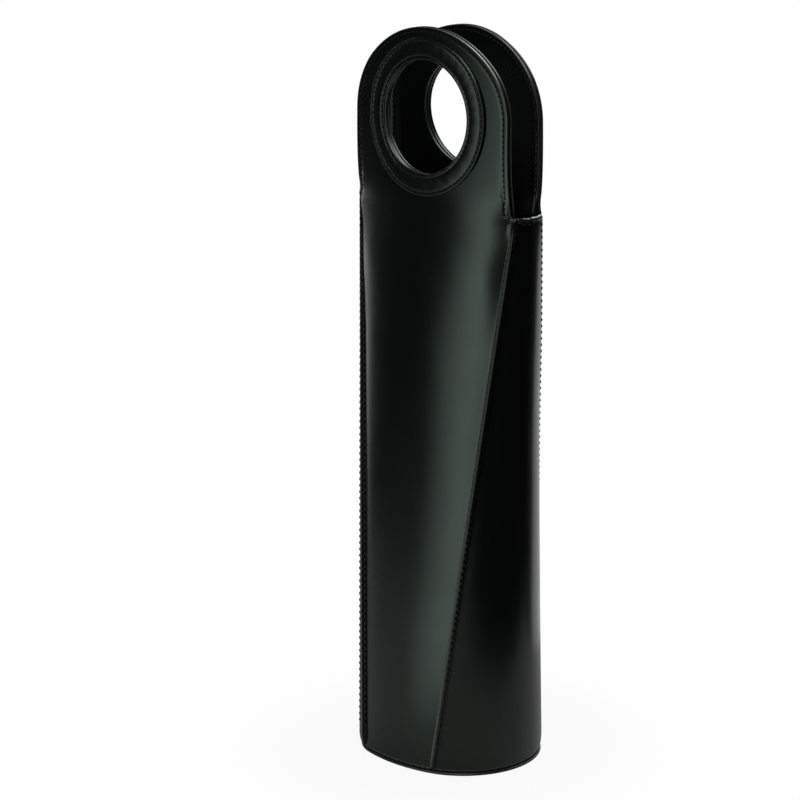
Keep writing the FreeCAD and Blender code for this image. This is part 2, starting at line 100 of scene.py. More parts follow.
def closed_normals(loop):
    """Outward normals of a closed plane loop that runs anticlockwise: its tangent turned a quarter."""
    tangent = unit(np.roll(loop, -1, axis=0) - np.roll(loop, 1, axis=0))
    return np.stack([tangent[:, 1], -tangent[:, 0]], axis=1)


oval = foot_oval()
oval_normal = closed_normals(oval)


def profile(offset, height, keep):
    """Rows of a section round the oval: (outward offset, height, share of the oval that is kept)."""
    return np.stack(np.broadcast_arrays(offset, height, keep), axis=1)


def oval_rings(*profiles):
    """A grid of rings, one for each profile row: the oval moved along its normals, then drawn in."""
    offset, height, keep = np.concatenate(profiles).T[:, :, None, None]
    flat = (oval + oval_normal * offset) * keep
    return np.concatenate([flat, np.broadcast_to(height, flat.shape[:2] + (1,))], axis=2)


def grid_faces(rows, columns, first, wrap_rows, wrap_columns):
    """Quads of a grid of points, numbered from first, joined end to start where it wraps."""
    row = np.arange(rows if wrap_rows else rows - 1)[:, None]
    column = np.arange(columns if wrap_columns else columns - 1)[None, :]
    next_row, next_column = (row + 1) % rows, (column + 1) % columns
    corners = [(row, column), (next_row, column), (next_row, next_column), (row, next_column)]
    return first + np.stack([a * columns + b for a, b in corners], axis=-1).reshape(-1, 4)


def new_piece(name, points, faces, values, weld, closed):
    """One smooth mesh from points in millimetres, faces and named point values. Equal points are welded
    where asked, and a closed piece has its normals turned outwards."""
    mesh = bpy.data.meshes.new(name)
    mesh.from_pydata((points * MILLIMETRE).tolist(), [], faces)
    for key, value in values.items():
        attribute = mesh.attributes.new(key, "FLOAT", "POINT")
        attribute.data.foreach_set("value", np.asarray(value, np.float32).ravel())
    work = bmesh.new()
    work.from_mesh(mesh)
    if weld:
        bmesh.ops.remove_doubles(work, verts=work.verts, dist=WELD)
        bmesh.ops.dissolve_degenerate(work, edges=work.edges, dist=WELD)
    if closed:
        bmesh.ops.recalc_face_normals(work, faces=work.faces)
    work.to_mesh(mesh)
    work.free()
    mesh.shade_smooth()
    piece = bpy.data.objects.new(name, mesh)
    bpy.context.scene.collection.objects.link(piece)
    return piece


def skin(name, *patches, closed=False, values=None):
    """One piece from grids of points. A patch is (points, wrap rows, wrap columns)."""
    points = np.concatenate([patch[0].reshape(-1, 3) for patch in patches])
    firsts = np.cumsum([0] + [patch[0].shape[0] * patch[0].shape[1] for patch in patches])
    faces = [grid_faces(*patch[0].shape[:2], first, *patch[1:]) for patch, first in zip(patches, firsts)]
    return new_piece(name, points, np.concatenate(faces).tolist(), values or {}, True, closed)


def settle(piece, material, body, slot, *nodes, rim=None):
    """Gives a piece its material, a second one for its cut rim and its body, and puts it in the place of
    its CAD nodes."""
    piece.data.materials.append(material)
    if rim:
        piece.data.materials.append(rim)
    if body:
        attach(piece, body)
    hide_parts(*nodes)


def new_material(name):
    """A new material, its node tree and its main shader."""
    material = bpy.data.materials.new(name)
    material.use_nodes = True
    return material, material.node_tree, material.node_tree.nodes["Principled BSDF"]


def feed(tree, node, inputs):
    """Gives each named or numbered input of a node another node's output, or a plain value."""
    for key, value in inputs.items():
        if isinstance(value, bpy.types.NodeSocket):
            tree.links.new(value, node.inputs[key])
        else:
            node.inputs[key].default_value = value
    return node


def add(tree, kind, inputs):
    """A new shader node with its inputs."""
    return feed(tree, tree.nodes.new("ShaderNode" + kind), inputs)


def object_place(tree):
    """The Object coordinates."""
    return add(tree, "TexCoord", {}).outputs["Object"]


def sum_of(tree, operation, *inputs):
    """The result of a sum, whose inputs are numbers or other nodes' outputs."""
    node = tree.nodes.new("ShaderNodeMath")
    node.operation = operation
    return feed(tree, node, dict(enumerate(inputs))).outputs[0]


def mapped(tree, value, low, high, start, end):
    """A value carried in a straight line from the range low to high onto start to end."""
    return add(tree, "MapRange", {0: value, 1: low, 2: high, 3: start, 4: end}).outputs[0]


MIX_SOCKETS = dict(FLOAT=(2, 0), RGBA=(6, 2))


def mixed(tree, kind, share, first, second):
    """Two numbers (kind FLOAT) or two colours (kind RGBA) mixed by a share. Each kind has its own pair of
    inputs and its own output on the node."""
    node = tree.nodes.new("ShaderNodeMix")
    node.data_type = kind
    entry, result = MIX_SOCKETS[kind]
    return feed(tree, node, {0: share, entry: first, entry + 1: second}).outputs[result]


def emboss(tree, shader, height, strength, depth):
    """Relief on a shader from a height, whose step of 1 is the depth in millimetres."""
    relief = add(tree, "Bump", {"Height": height, "Strength": strength, "Distance": depth * MILLIMETRE})
    feed(tree, shader, {"Normal": relief.outputs["Normal"]})


PORE_DETAIL, PORE_RELIEF, PORE_TONE = 4, 0.6, 0.35
CLOUD_SCALE, CLOUD_DETAIL, CLOUD_RANGE, CLOUD_TONE = 42, 5, (0.3, 0.7), 0.65
SHEEN_TINT = (0.78, 1.0, 0.88)
# The pale colour near cut edges: partly edge wear, partly a painted highlight for the light line along the
# rounded edges.
CUT_EDGE, CUT_EDGE_REACH = (0.110, 0.113, 0.102), 0.4
LEATHER_RELIEF = 0.1


def new_group(name, entries, results):
    """A new shader node group with its named inputs and outputs, and its nodes for both."""
    group = bpy.data.node_groups.new(name, "ShaderNodeTree")
    for way, sockets in (("INPUT", entries), ("OUTPUT", results)):
        for label, kind in sockets.items():
            group.interface.new_socket(label, in_out=way, socket_type="NodeSocket" + kind)
    return group, group.nodes.new("NodeGroupInput").outputs, group.nodes.new("NodeGroupOutput")


def place_group(tree, group, inputs):
    """A node group placed in a material with its own values. Gives its outputs."""
    node = tree.nodes.new("ShaderNodeGroup")
    node.node_tree = group
    return feed(tree, node, inputs).outputs


def leather_group():
    """Leather finish as a node group. Colour: two noises between dark and pale, mixed towards the pale edge
    colour near cut edges, which is partly edge wear and partly a painted highlight for the light the rounded
    edges catch. Roughness: the same noises
    over a range. Height: pebbles and pores."""
    group, entry, leave = new_group(
        "leather_finish", {"Place": "Vector", "Grain size": "Float", "Dark": "Color", "Pale": "Color",
                           "Edge": "Color", "Low gloss": "Float", "High gloss": "Float", "Edge wear and highlight": "Float"},
        {"Color": "Color", "Roughness": "Float", "Height": "Float"})
    per_grain = sum_of(group, "DIVIDE", 1, entry["Grain size"])
    pebble = add(group, "TexVoronoi", {"Vector": entry["Place"], "Scale": per_grain})
    pebble.feature = "SMOOTH_F1"
    pore = add(group, "TexNoise", {"Vector": entry["Place"], "Scale": per_grain, "Detail": PORE_DETAIL})
    cloud = add(group, "TexNoise", {"Vector": entry["Place"], "Scale": CLOUD_SCALE, "Detail": CLOUD_DETAIL})
    pores, cloudy = pore.outputs["Fac"], mapped(group, cloud.outputs["Fac"], *CLOUD_RANGE, 0, CLOUD_TONE)
    tone = sum_of(group, "MULTIPLY_ADD", pores, PORE_TONE, cloudy)
    colour = mixed(group, "RGBA", tone, entry["Dark"], entry["Pale"])
    feed(group, leave, {
        "Color": mixed(group, "RGBA", entry["Edge wear and highlight"], colour, entry["Edge"]),
        "Roughness": mixed(group, "FLOAT", tone, entry["Low gloss"], entry["High gloss"]),
        "Height": sum_of(group, "MULTIPLY_ADD", pores, PORE_RELIEF, pebble.outputs["Distance"])})
    return group


leather_finish = leather_group()


def leather(name, dark, pale, rough, grain, bump, edge_attribute=None):
    """Black leather: the shared finish on Object coordinates, with the pale edge colour, partly edge wear
    and partly painted highlight, fading in from the piece's own distance-to-edge attribute where it has one."""
    material, tree, shader = new_material(name)
    values = {"Place": object_place(tree), "Grain size": grain * MILLIMETRE, "Dark": (*dark, 1),
              "Pale": (*pale, 1), "Edge": (*CUT_EDGE, 1), "Low gloss": rough[0], "High gloss": rough[1]}
    if edge_attribute:
        edge = add(tree, "Attribute", {})
        edge.attribute_name = edge_attribute
        values["Edge wear and highlight"] = mapped(tree, edge.outputs["Fac"], 0, CUT_EDGE_REACH, 1, 0)
    finish = place_group(tree, leather_finish, values)
    feed(tree, shader, {"Base Color": finish["Color"], "Roughness": finish["Roughness"],
                        "Specular Tint": (*SHEEN_TINT, 1)})
    emboss(tree, shader, finish["Height"], bump, LEATHER_RELIEF)
    return material


edge_leather = leather("painted_edge_leather", dark=(0.004, 0.0045, 0.004), pale=(0.012, 0.013, 0.012),
                       rough=(0.42, 0.30), grain=0.5, bump=0.15)
turn = np.linspace(0, np.pi, SOLE_EDGE_STEPS)
rim = profile(SOLE_MARGIN - SOLE_EDGE + SOLE_EDGE * np.sin(turn), SOLE_THICKNESS / 2 * (1 - np.cos(turn)), 1)
sole_rings = oval_rings(profile(0, 0, SOLE_FLAT_SHARES), rim,
                        profile(0, SOLE_THICKNESS, SOLE_FLAT_SHARES[::-1]))
sole = skin("base_sole_leather", (sole_rings, False, True), closed=True)
settle(sole, edge_leather, "pouch", "leather", "base_sole")

# Base welt: a narrow strip of the same leather laid round the foot, between the sole and the walls.
# It is set back under the walls' lower edge, so it shows as a dark groove above the lip.
WELT_LOW, WELT_HIGH = 1.3, 3.0
WELT_OUT, WELT_IN = -0.4, -2.1
WELT_SIDES, WELT_ROUNDNESS = 16, 0.6
welt_z, welt_middle = (WELT_LOW + WELT_HIGH) / 2, (WELT_OUT + WELT_IN) / 2
turn = np.linspace(0, 2 * np.pi, WELT_SIDES, endpoint=False)
bulge = np.sign(np.cos(turn)) * np.abs(np.cos(turn)) ** WELT_ROUNDNESS
strip = profile(welt_middle + (WELT_OUT - welt_middle) * bulge,
                welt_z + (WELT_HIGH - WELT_LOW) / 2 * np.sin(turn), 1)
welt = skin("base_welt_strip", (oval_rings(strip), True, True), closed=True)
settle(welt, edge_leather, "pouch", "leather", "base_welt")

# Base board and its lining: a stiff grey board under a thin black cloth, glued down inside the foot.
# The board is covered on all sides; the cloth is what one sees looking down into the pouch.
BOARD_LOW, CLOTH_LOW, CLOTH_HIGH, CLOTH_IN, CLOTH_SAG = 1.55, 3.25, 4.0, -2.6, 0.25
CLOTH_SHARES = np.linspace(0, 1, 7)
FIBRE_SCALE, FIBRE_DETAIL = (180, 900, 900), 6
THREAD_SLANTS, THREAD_SCALE, THREAD_DISTORTION = (0.7, -0.7), 260, 0.6
CLOTH_SHEEN, CLOTH_SHEEN_ROUGHNESS = 0.25, 0.5


def pattern_group():
    """Finish from one pattern of 0 to 1, as a node group. Colour: from dark to pale. Roughness: the
    pattern carried from the range low to high onto another."""
    group, entry, leave = new_group(
        "pattern_finish", {"Pattern": "Float", "Dark": "Color", "Pale": "Color", "Low": "Float",
                           "High": "Float", "Rough at low": "Float", "Rough at high": "Float"},
        {"Color": "Color", "Roughness": "Float"})
    feed(group, leave, {
        "Color": mixed(group, "RGBA", entry["Pattern"], entry["Dark"], entry["Pale"]),
        "Roughness": mapped(group, entry["Pattern"], entry["Low"], entry["High"], entry["Rough at low"],
                            entry["Rough at high"])})
    return group


pattern_finish = pattern_group()


def lay_pattern(tree, shader, pattern, dark, pale, rough, relief):
    """Lays the shared finish and the relief of one pattern on a shader: rough is (low, high, roughness at
    low, roughness at high), and relief is (strength, depth)."""
    finish = place_group(tree, pattern_finish, {
        "Pattern": pattern, "Dark": (*dark, 1), "Pale": (*pale, 1), "Low": rough[0], "High": rough[1],
        "Rough at low": rough[2], "Rough at high": rough[3]})
    feed(tree, shader, {"Base Color": finish["Color"], "Roughness": finish["Roughness"]})
    emboss(tree, shader, pattern, *relief)


def board_material(name, dark, pale):
    """Grey millboard: long fibres from a noise drawn out along x, which stand a little proud."""
    material, tree, shader = new_material(name)
    stretch = add(tree, "Mapping", {"Vector": object_place(tree), "Scale": FIBRE_SCALE})
    fibre = add(tree, "TexNoise", {"Vector": stretch.outputs[0], "Scale": 1, "Detail": FIBRE_DETAIL})
    lay_pattern(tree, shader, fibre.outputs["Fac"], dark, pale,
                rough=(0.3, 0.7, 0.75, 0.95), relief=(0.3, 0.1))
    return material


def wave(tree, rotation, scale, distortion):
    """Bands of waves across the Object coordinates, turned by three angles."""
    turned = add(tree, "Mapping", {"Vector": object_place(tree), "Rotation": rotation})
    return add(tree, "TexWave", {"Vector": turned.outputs[0], "Scale": scale,
                                 "Distortion": distortion}).outputs["Fac"]


def cloth_material(name):
    """Black twill: two crossed sets of slanted threads, as waves on Object coordinates multiplied with
    each other; the crests are paler and stand proud."""
    material, tree, shader = new_material(name)
    feed(tree, shader, {"Sheen Weight": CLOTH_SHEEN, "Sheen Roughness": CLOTH_SHEEN_ROUGHNESS})
    threads = [wave(tree, (slant,) * 3, THREAD_SCALE, THREAD_DISTORTION) for slant in THREAD_SLANTS]
    lay_pattern(tree, shader, sum_of(tree, "MULTIPLY", *threads), dark=(0.003, 0.003, 0.003),
                pale=(0.016, 0.016, 0.017), rough=(0, 1, 0.95, 0.8), relief=(0.5, 0.15))
    return material


under, over = CLOTH_SHARES, CLOTH_SHARES[::-1]
board_rings = oval_rings(profile(CLOTH_IN, BOARD_LOW, under), profile(CLOTH_IN, CLOTH_LOW, over))
board = skin("base_board_sheet", (board_rings, False, True), closed=True)
millboard = board_material("millboard", dark=(0.10, 0.09, 0.075), pale=(0.22, 0.20, 0.17))
settle(board, millboard, "pouch", "board", "base_board")
lining_cloth = cloth_material("lining_twill")
cloth_rings = oval_rings(profile(CLOTH_IN, CLOTH_LOW, under),
                         profile(CLOTH_IN, CLOTH_HIGH - CLOTH_SAG * over ** 4, over))
floor_cloth = skin("base_lining_cloth", (cloth_rings, False, True), closed=True)
settle(floor_cloth, lining_cloth, "pouch", "lining", "base_lining")

# Side gussets: two tall leathers, narrow at the shoulder and wide and round at the foot. Their long
# edges turn outwards and are sewn flat against the front and back leathers, which makes the corner fins.
SHOULDER = dict(z=304.7, corner_x=55.3, corner_y=8.2, panel_y=19.8, gusset_x=57.5, seam_angle=36.0)
LEATHER, CUT_ROUND, CUT_STEPS, CUT_ANGLE = 1.2, 0.5, 3, 55
HEM_Z, GUSSET_TOP = 2.8, 304.4
FIN_WIDTH, FIN_SPAN, FIN_FOOT, FIN_LEAST = 2.6, 3.0, 6.5, 0.02
FIN_STEPS = np.array([2.6, 2.0, 1.4, 0.8, 0.4, 0.0])
ROOT_TOP, ROOT_RISE = 2.0, (275, 303)
TAUT_REACH, TAUT_RISE = 0.9, (170, 250)
SIDE_FULLNESS, FULLNESS_RISE = 2.6, (200, 290)
VALLEY_IN, VALLEY_OUT = 0.9, 0.3
VALLEY_STEPS = np.linspace(0, 1, 5)[:-1]
MOUTH_DIP, MOUTH_TUCK, MOUTH_RISE = 0.3, 0.2, (262, GUSSET_TOP)
SCALLOP, SCALLOP_PITCH, SCALLOP_WIDTH = 0.12, 3.5, 1.2
RIPPLE_HEIGHT = 0.10
RIPPLE_WAVES = ((1, 31, 19, 0), (0.7, 17, -27, 1.3), (0.5, 53, 11, 2.1))
GUSSET_STEPS = 20
FOOT_ROWS, FOOT_ROWS_TOP, WALL_ROWS_TOP, MOUTH_ROWS, MOUTH_ROWS_LOW = 14, 13, 296, 10, 296.5


def ease(low, high, value):
    """Smooth step: 0 below low, 1 above high, and three squares less two cubes of the share between."""
    share = np.clip((np.asarray(value, float) - low) / (high - low), 0, 1)
    return share * share * (3 - 2 * share)


def wall_at(z):
    """The wall's measures at height z, each in a straight line from the foot to the shoulder."""
    share = np.clip((np.asarray(z, float) - FOOT["z"]) / (SHOULDER["z"] - FOOT["z"]), 0, 1)
    return {key: FOOT[key] + (SHOULDER[key] - FOOT[key]) * share for key in FOOT}


def fin_width(z):
    """The fin's width from the corner: full above the foot, and a quarter ellipse down to almost nothing
    at the hem."""
    share = np.clip((z - HEM_Z) / FIN_FOOT, FIN_LEAST, 1)
    return FIN_WIDTH * np.sqrt(1 - (1 - share) ** 2)


def right_root(z):
    """How far out from the front right corner the leathers turn into the fin: nothing on the wall, and a
    smooth step out towards the shoulder, where only a narrow lip is left."""
    return ROOT_TOP * ease(*ROOT_RISE, z)


def on_fin(z, face, distance):
    """A point on one face of the fin at a distance from the corner, measured along the seam's angle. The
    gusset's face lies one leather's thickness to one side (face 1), the panel's to the other (face -1)."""
    wall = wall_at(z)
    sine, cosine = np.sin(np.radians(wall["seam_angle"])), np.cos(np.radians(wall["seam_angle"]))
    return (wall["corner_x"] + cosine * distance + face * LEATHER * sine,
            wall["corner_y"] + sine * distance - face * LEATHER * cosine)


def with_fin(arc, face, z, root):
    """Carries a half section on from its arc's end: a short curve through the valley at the fin's root,
    weighted by the squares of a share, then out along the fin, whose edge the stitches pinch to a wave."""
    width = fin_width(z)
    root = root * width / FIN_WIDTH
    pinch = SCALLOP * np.sin(2 * np.pi * z / SCALLOP_PITCH) * ease(SCALLOP_WIDTH, 0, FIN_STEPS)
    bend, leave = on_fin(z, face, root), on_fin(z, face, root + VALLEY_OUT * width / FIN_WIDTH)
    fin = on_fin(z, face, root + (width - root) * (1 - FIN_STEPS / FIN_SPAN) + pinch)
    q = VALLEY_STEPS
    valley = [arc[axis][:, -1:] * (1 - q) ** 2 + 2 * bend[axis] * q * (1 - q) + leave[axis] * q ** 2
              for axis in (0, 1)]
    return [np.concatenate([arc[axis][:, :-1], valley[axis], fin[axis]], axis=1) for axis in (0, 1)]


def gusset_half(z, sway, taut=None):
    """Half of a gusset's section at each height, a circle's arc. It ends at the fin's root and goes on
    into valley and fin, or, where the leather is pulled taut, it runs straight on to the fin's edge and,
    above the middle, past it by the taut reach, and a flap one leather wide closes the seam. The foot's
    bulge is larger by the sway, and the shoulder's by a smooth step. Gives (x, y) as grids."""
    wall = wall_at(z)
    middle = wall["gusset_x"] + sway * (SHOULDER["z"] - wall["z"]) / (SHOULDER["z"] - FOOT["z"])
    middle = middle + SIDE_FULLNESS * ease(*FULLNESS_RISE, z)
    if taut is None:
        end = on_fin(z, 1, right_root(z))
        radius, swing = arc_of(end[1], middle - end[0])
        turn = np.linspace(0, 1, GUSSET_STEPS) * (swing - VALLEY_IN / radius)
        return with_fin((middle - radius * (1 - np.cos(turn)), radius * np.sin(turn)), 1, z, right_root(z))
    reach = fin_width(z) + taut * ease(*TAUT_RISE, z)
    end, seam = on_fin(z, 1, reach), on_fin(z, 0, reach)
    radius, swing = arc_of(end[1], middle - end[0])
    shares = np.linspace(0, 1, GUSSET_STEPS - 1 + len(VALLEY_STEPS))
    turn = np.concatenate([shares * (swing - FIN_SPAN / radius),
                           swing - np.maximum(FIN_STEPS - LEATHER, 0) / radius], axis=1)
    flap = np.concatenate([np.zeros_like(shares), np.clip(1 - FIN_STEPS / LEATHER, 0, 1)])
    return [middle - radius * (1 - np.cos(turn)) + flap * (seam[0] - end[0]),
            radius * np.sin(turn) + flap * (seam[1] - end[1])]


def points_of(x, y, z):
    """A grid of points from its three coordinates, each a grid, a row, a column or one number."""
    return np.stack(np.broadcast_arrays(x, y, z), axis=-1)


def joined(left, right):
    """A left half, turned round, joined to the right half with which it shares its middle column."""
    return np.concatenate([left[..., :0:-1], right], axis=-1)


def other_side(points):
    """The same points turned half a turn about the carrier's upright axis."""
    return points * [-1, -1, 1]


def ripple(across, up):
    """The leather's slow unevenness: three long sine waves added, a fraction of a millimetre high."""
    return RIPPLE_HEIGHT * sum(share * np.sin(up / tall + across / wide + start)
                               for share, tall, wide, start in RIPPLE_WAVES)


def slack_at(y, z):
    """How loose a gusset is: 1 on its middle line, less the square of the share of the way to a corner."""
    return 1 - np.clip(np.abs(y) / wall_at(z)["corner_y"], 0, 1) ** 2


def gusset_sheet(z, sway, taut):
    """Points of a right gusset: the front half of its section with its fin and the back half pulled taut,
    tucked in towards the mouth, and the distance of each point to the sheet's edge."""
    half, pulled = gusset_half(z, sway), gusset_half(z, sway, taut)
    x, y = joined(half[0], pulled[0]), joined(-half[1], pulled[1])
    slack, near_mouth = slack_at(y, z), ease(*MOUTH_RISE, z)
    x = x - MOUTH_TUCK * slack * near_mouth + ripple(y, z) * slack
    inner = np.full(half[0].shape[1] - len(FIN_STEPS), FIN_STEPS[0] + FIN_SPAN)
    half_gap = np.concatenate([inner, FIN_STEPS])
    gap = np.minimum(joined(half_gap, half_gap), z - HEM_Z)
    return points_of(x, y, z - MOUTH_DIP * slack * near_mouth ** 2), gap


def thicken(piece, thickness, edge=None):
    """Gives a sheet its thickness, inwards from its outer face. Where an edge radius is given, the cut
    edges are rounded and take the sheet's second material."""
    wall = piece.modifiers.new("thickness", "SOLIDIFY")
    wall.thickness = thickness * MILLIMETRE
    wall.offset = -1
    if edge:
        wall.material_offset_rim = 1
        rounding = piece.modifiers.new("cut edge", "BEVEL")
        rounding.width = edge * MILLIMETRE
        rounding.segments = CUT_STEPS
        rounding.limit_method = "ANGLE"
        rounding.angle_limit = np.radians(CUT_ANGLE)


wall_z = np.concatenate([np.linspace(HEM_Z, FOOT_ROWS_TOP, FOOT_ROWS),
                         np.arange(FOOT_ROWS_TOP, WALL_ROWS_TOP, SCALLOP_PITCH / 4)[1:]])
gusset_z = np.concatenate([wall_z, np.linspace(MOUTH_ROWS_LOW, GUSSET_TOP, MOUTH_ROWS)])[:, None]
SMOOTH_BLACK = dict(dark=(0.0006, 0.0008, 0.0007), pale=(0.002, 0.0026, 0.0022), grain=0.9)
wall_leather = leather("smooth_black_leather", **SMOOTH_BLACK, rough=(0.29, 0.22), bump=0.08,
                       edge_attribute="edge_gap")
waxed_edge = leather("waxed_cut_edge", dark=(0.0006, 0.0007, 0.0006), pale=(0.002, 0.0022, 0.002),
                     rough=(0.2, 0.15), grain=0.4, bump=0.1)
gussets = {}
for side, place, sway, taut in (("right", np.asarray, FOOT_SWAY, TAUT_REACH),
                                ("left", other_side, -FOOT_SWAY, 0)):
    sheet, gap = gusset_sheet(gusset_z, sway, taut)
    gussets[side] = place(sheet)
    gusset = skin(side + "_gusset_leather", (np.swapaxes(gussets[side], 0, 1), False, False),
                  values={"edge_gap": gap.T})
    thicken(gusset, LEATHER, CUT_ROUND)
    settle(gusset, wall_leather, "pouch", "leather", side + "_gusset", rim=waxed_edge)

# Front and back leathers: each is one long sheet that is both a wall of the pouch and, above the
# shoulder, the outer face of a handle with its hand hole. The edge runs on from the fin into the handle.
JOIN_Z, TOP_Z, BACK_DROP = 313.0, 400.0, 1.1
HANDLE_HALF, SPRING_Z, SIDE_RADIUS, CROWN_RADIUS = 54.2, 353.3, 41.7, 59.8
SIDE_POINTS, CROWN_POINTS = 22, 28
FLARE = dict(radius=4.0, top=307.6, height=3.9)
LEFT_FLARE = dict(radius=12.0, top=JOIN_Z, height=7.3)
FLARE_MIX, LEFT_FLARE_MIX = (302.5, 306.5), (299, 310)
HOLE_Z, HOLE_RADIUS = 353.2, 30.1
HANDLE_FACE, HANDLE_FACE_Z, HANDLE_LEAN, FACE_MIX = 20.1, 303.0, 0.0385, (290, 318)
HANDLE_SAG, SHOULDER_SAG, SAG_FADE, LEFT_SAG_SHARE = 4.5, 6.4, 18.0, 0.78
EDGE_ROLL, EDGE_ROLL_RISE, HANDLE_ROLL_FALL = 1.0, (230, 290), (322, 304)
LEFT_EDGE_ROLL, LEFT_ROLL_FALL = 0.5, (295, 265)
LEFT_ROOT, LEFT_ROOT_HIGH, LEFT_ROOT_TOP = 0.45, 0.85, 0.8
LEFT_ROOT_HIGH_RISE, LEFT_ROOT_TOP_RISE = (230, 285), (285, 304)
STITCH_DENT, STITCH_DENT_WIDTH, EDGE_ROW, DENT_RISE = 0.22, 0.55, 2.6, (300, 310)
# How far and how strongly the pale edge colour shows along the fins and their cut rims: partly edge wear,
# partly a painted highlight for the thin light line along them.
FAR_GAP, FIN_EDGE_SHARE, FIN_EDGE_RISE = 8.0, 0.45, (300, 306)
RAW_EDGE_WEAR_AND_HIGHLIGHT, RAW_EDGE_FALL = 0.45, (302, 294)
RIPPLE_FADE = (JOIN_Z, 285)
PANEL_STEPS, SHOULDER_ROWS = 24, 28
HOLE_STEPS, TAB_STEPS = np.array([0, 0.4, 1.0, 2.0]), 9
RIM_STEPS = np.concatenate([[4.2, 3.4], FIN_STEPS])


def behind(points):
    """The front's points turned half a turn to the back, where the handle stands a millimetre lower: the
    drop grows in a straight line from the shoulder to the top."""
    share = np.clip((points[..., 2:] - SHOULDER["z"]) / (TOP_Z - SHOULDER["z"]), 0, 1)
    return other_side(points) - BACK_DROP * share * [0, 0, 1]


def fin_root(x, z):
    """How far out from the corner the front leather turns into its fin: as the gusset does on the right,
    and further out on the left, in two smooth steps towards the shoulder."""
    left = (LEFT_ROOT + LEFT_ROOT_HIGH * ease(*LEFT_ROOT_HIGH_RISE, z)
            + LEFT_ROOT_TOP * ease(*LEFT_ROOT_TOP_RISE, z))
    return np.where(x > 0, right_root(z), left)


def face_depth(x, z):
    """Distance of the outer face from the carrier's middle plane. Pouch: a parabola across, from the
    middle of the front to where it turns into the fins, which rolls off harder on the upper right and
    lower left. Handle: a flatter parabola whose sag fades with height. A smooth step mixes the two."""
    middle = wall_at(z)["panel_y"]
    turn_x, turn_y = on_fin(z, -1, fin_root(x, z))
    power = 2 + np.where(x > 0, EDGE_ROLL * ease(*EDGE_ROLL_RISE, z),
                         LEFT_EDGE_ROLL * ease(*LEFT_ROLL_FALL, z))
    pouch = middle - (middle - turn_y) * np.abs(x / turn_x) ** power
    above = np.maximum(z - HANDLE_FACE_Z, 0)
    sag = (HANDLE_SAG + SHOULDER_SAG * np.exp(-above / SAG_FADE)) * np.where(x > 0, 1, LEFT_SAG_SHARE)
    rolled = 2 + np.where(x > 0, EDGE_ROLL * ease(*HANDLE_ROLL_FALL, z), 0)
    handle = HANDLE_FACE - HANDLE_LEAN * (z - HANDLE_FACE_Z) - sag * np.abs(x / HANDLE_HALF) ** rolled
    mix = ease(*FACE_MIX, z)
    return pouch * (1 - mix) + handle * mix


def handle_edge(z, radius, top, height):
    """Half width of the sheet at the shoulder: the straight side of the handle, flaring out below on
    an arc of the given radius."""
    drop = np.clip(top - z, 0, height)
    return HANDLE_HALF + radius - np.sqrt(radius ** 2 - drop ** 2)


def panel_half(z, way, flare, flare_mix):
    """Half of the front leather's section at each height, as (distance from the middle, depth) grids with
    the same columns all the way up: pouch section with its fin below the shoulder, plain handle face
    above it. way is 1 for the right half and -1 for the left."""
    root, share = fin_root(way, z), np.linspace(0, 1, PANEL_STEPS)
    across = share * (on_fin(z, -1, root)[0] - VALLEY_IN)
    pouch = with_fin((across, face_depth(way * across, z)), -1, z, root)
    edge = handle_edge(z, **flare)
    inner = edge - FIN_SPAN - VALLEY_IN
    flat_x = np.concatenate([share[:-1] * inner, inner + (VALLEY_IN + VALLEY_OUT) * VALLEY_STEPS,
                             edge - FIN_STEPS], axis=1)
    flat = (flat_x, face_depth(way * flat_x, z))
    mix = ease(*flare_mix, z)
    return [pouch[axis] * (1 - mix) + flat[axis] * mix for axis in (0, 1)]


def handle_outline(inset):
    """The handle's outline from the right end of the joining line, up the side, over the crown's three
    arcs and down the left side, drawn in by inset. Gives (x, z)."""
    half, radius, crown = HANDLE_HALF - inset, SIDE_RADIUS - inset, CROWN_RADIUS - inset
    side_x, crown_z = HANDLE_HALF - SIDE_RADIUS, TOP_Z - CROWN_RADIUS
    swing = np.arctan2(SPRING_Z - crown_z, side_x)
    rise = np.linspace(JOIN_Z, SPRING_Z, SIDE_POINTS)[:-1]
    near = np.linspace(0, swing, SIDE_POINTS)[:-1]
    over = np.linspace(swing, np.pi / 2, CROWN_POINTS)
    right = np.concatenate([
        np.stack([np.full_like(rise, half), rise], axis=1),
        np.stack([side_x + radius * np.cos(near), SPRING_Z + radius * np.sin(near)], axis=1),
        np.stack([crown * np.cos(over), crown_z + crown * np.sin(over)], axis=1)])
    return np.concatenate([right, right[-2::-1] * [-1, 1]])


def rim_distance(x, z):
    """Distance of a point on the handle to its outline: straight sides below the spring line, and above
    it the nearer of the crown's arcs."""
    side_x, crown_z = HANDLE_HALF - SIDE_RADIUS, TOP_Z - CROWN_RADIUS
    side = SIDE_RADIUS - np.hypot(np.abs(x) - side_x, z - SPRING_Z)
    crown = CROWN_RADIUS - np.hypot(x, z - crown_z)
    steep = (z - crown_z) * side_x > np.abs(x) * (SPRING_Z - crown_z)
    return np.where(z < SPRING_Z, HANDLE_HALF - np.abs(x), np.where(steep, crown, side))


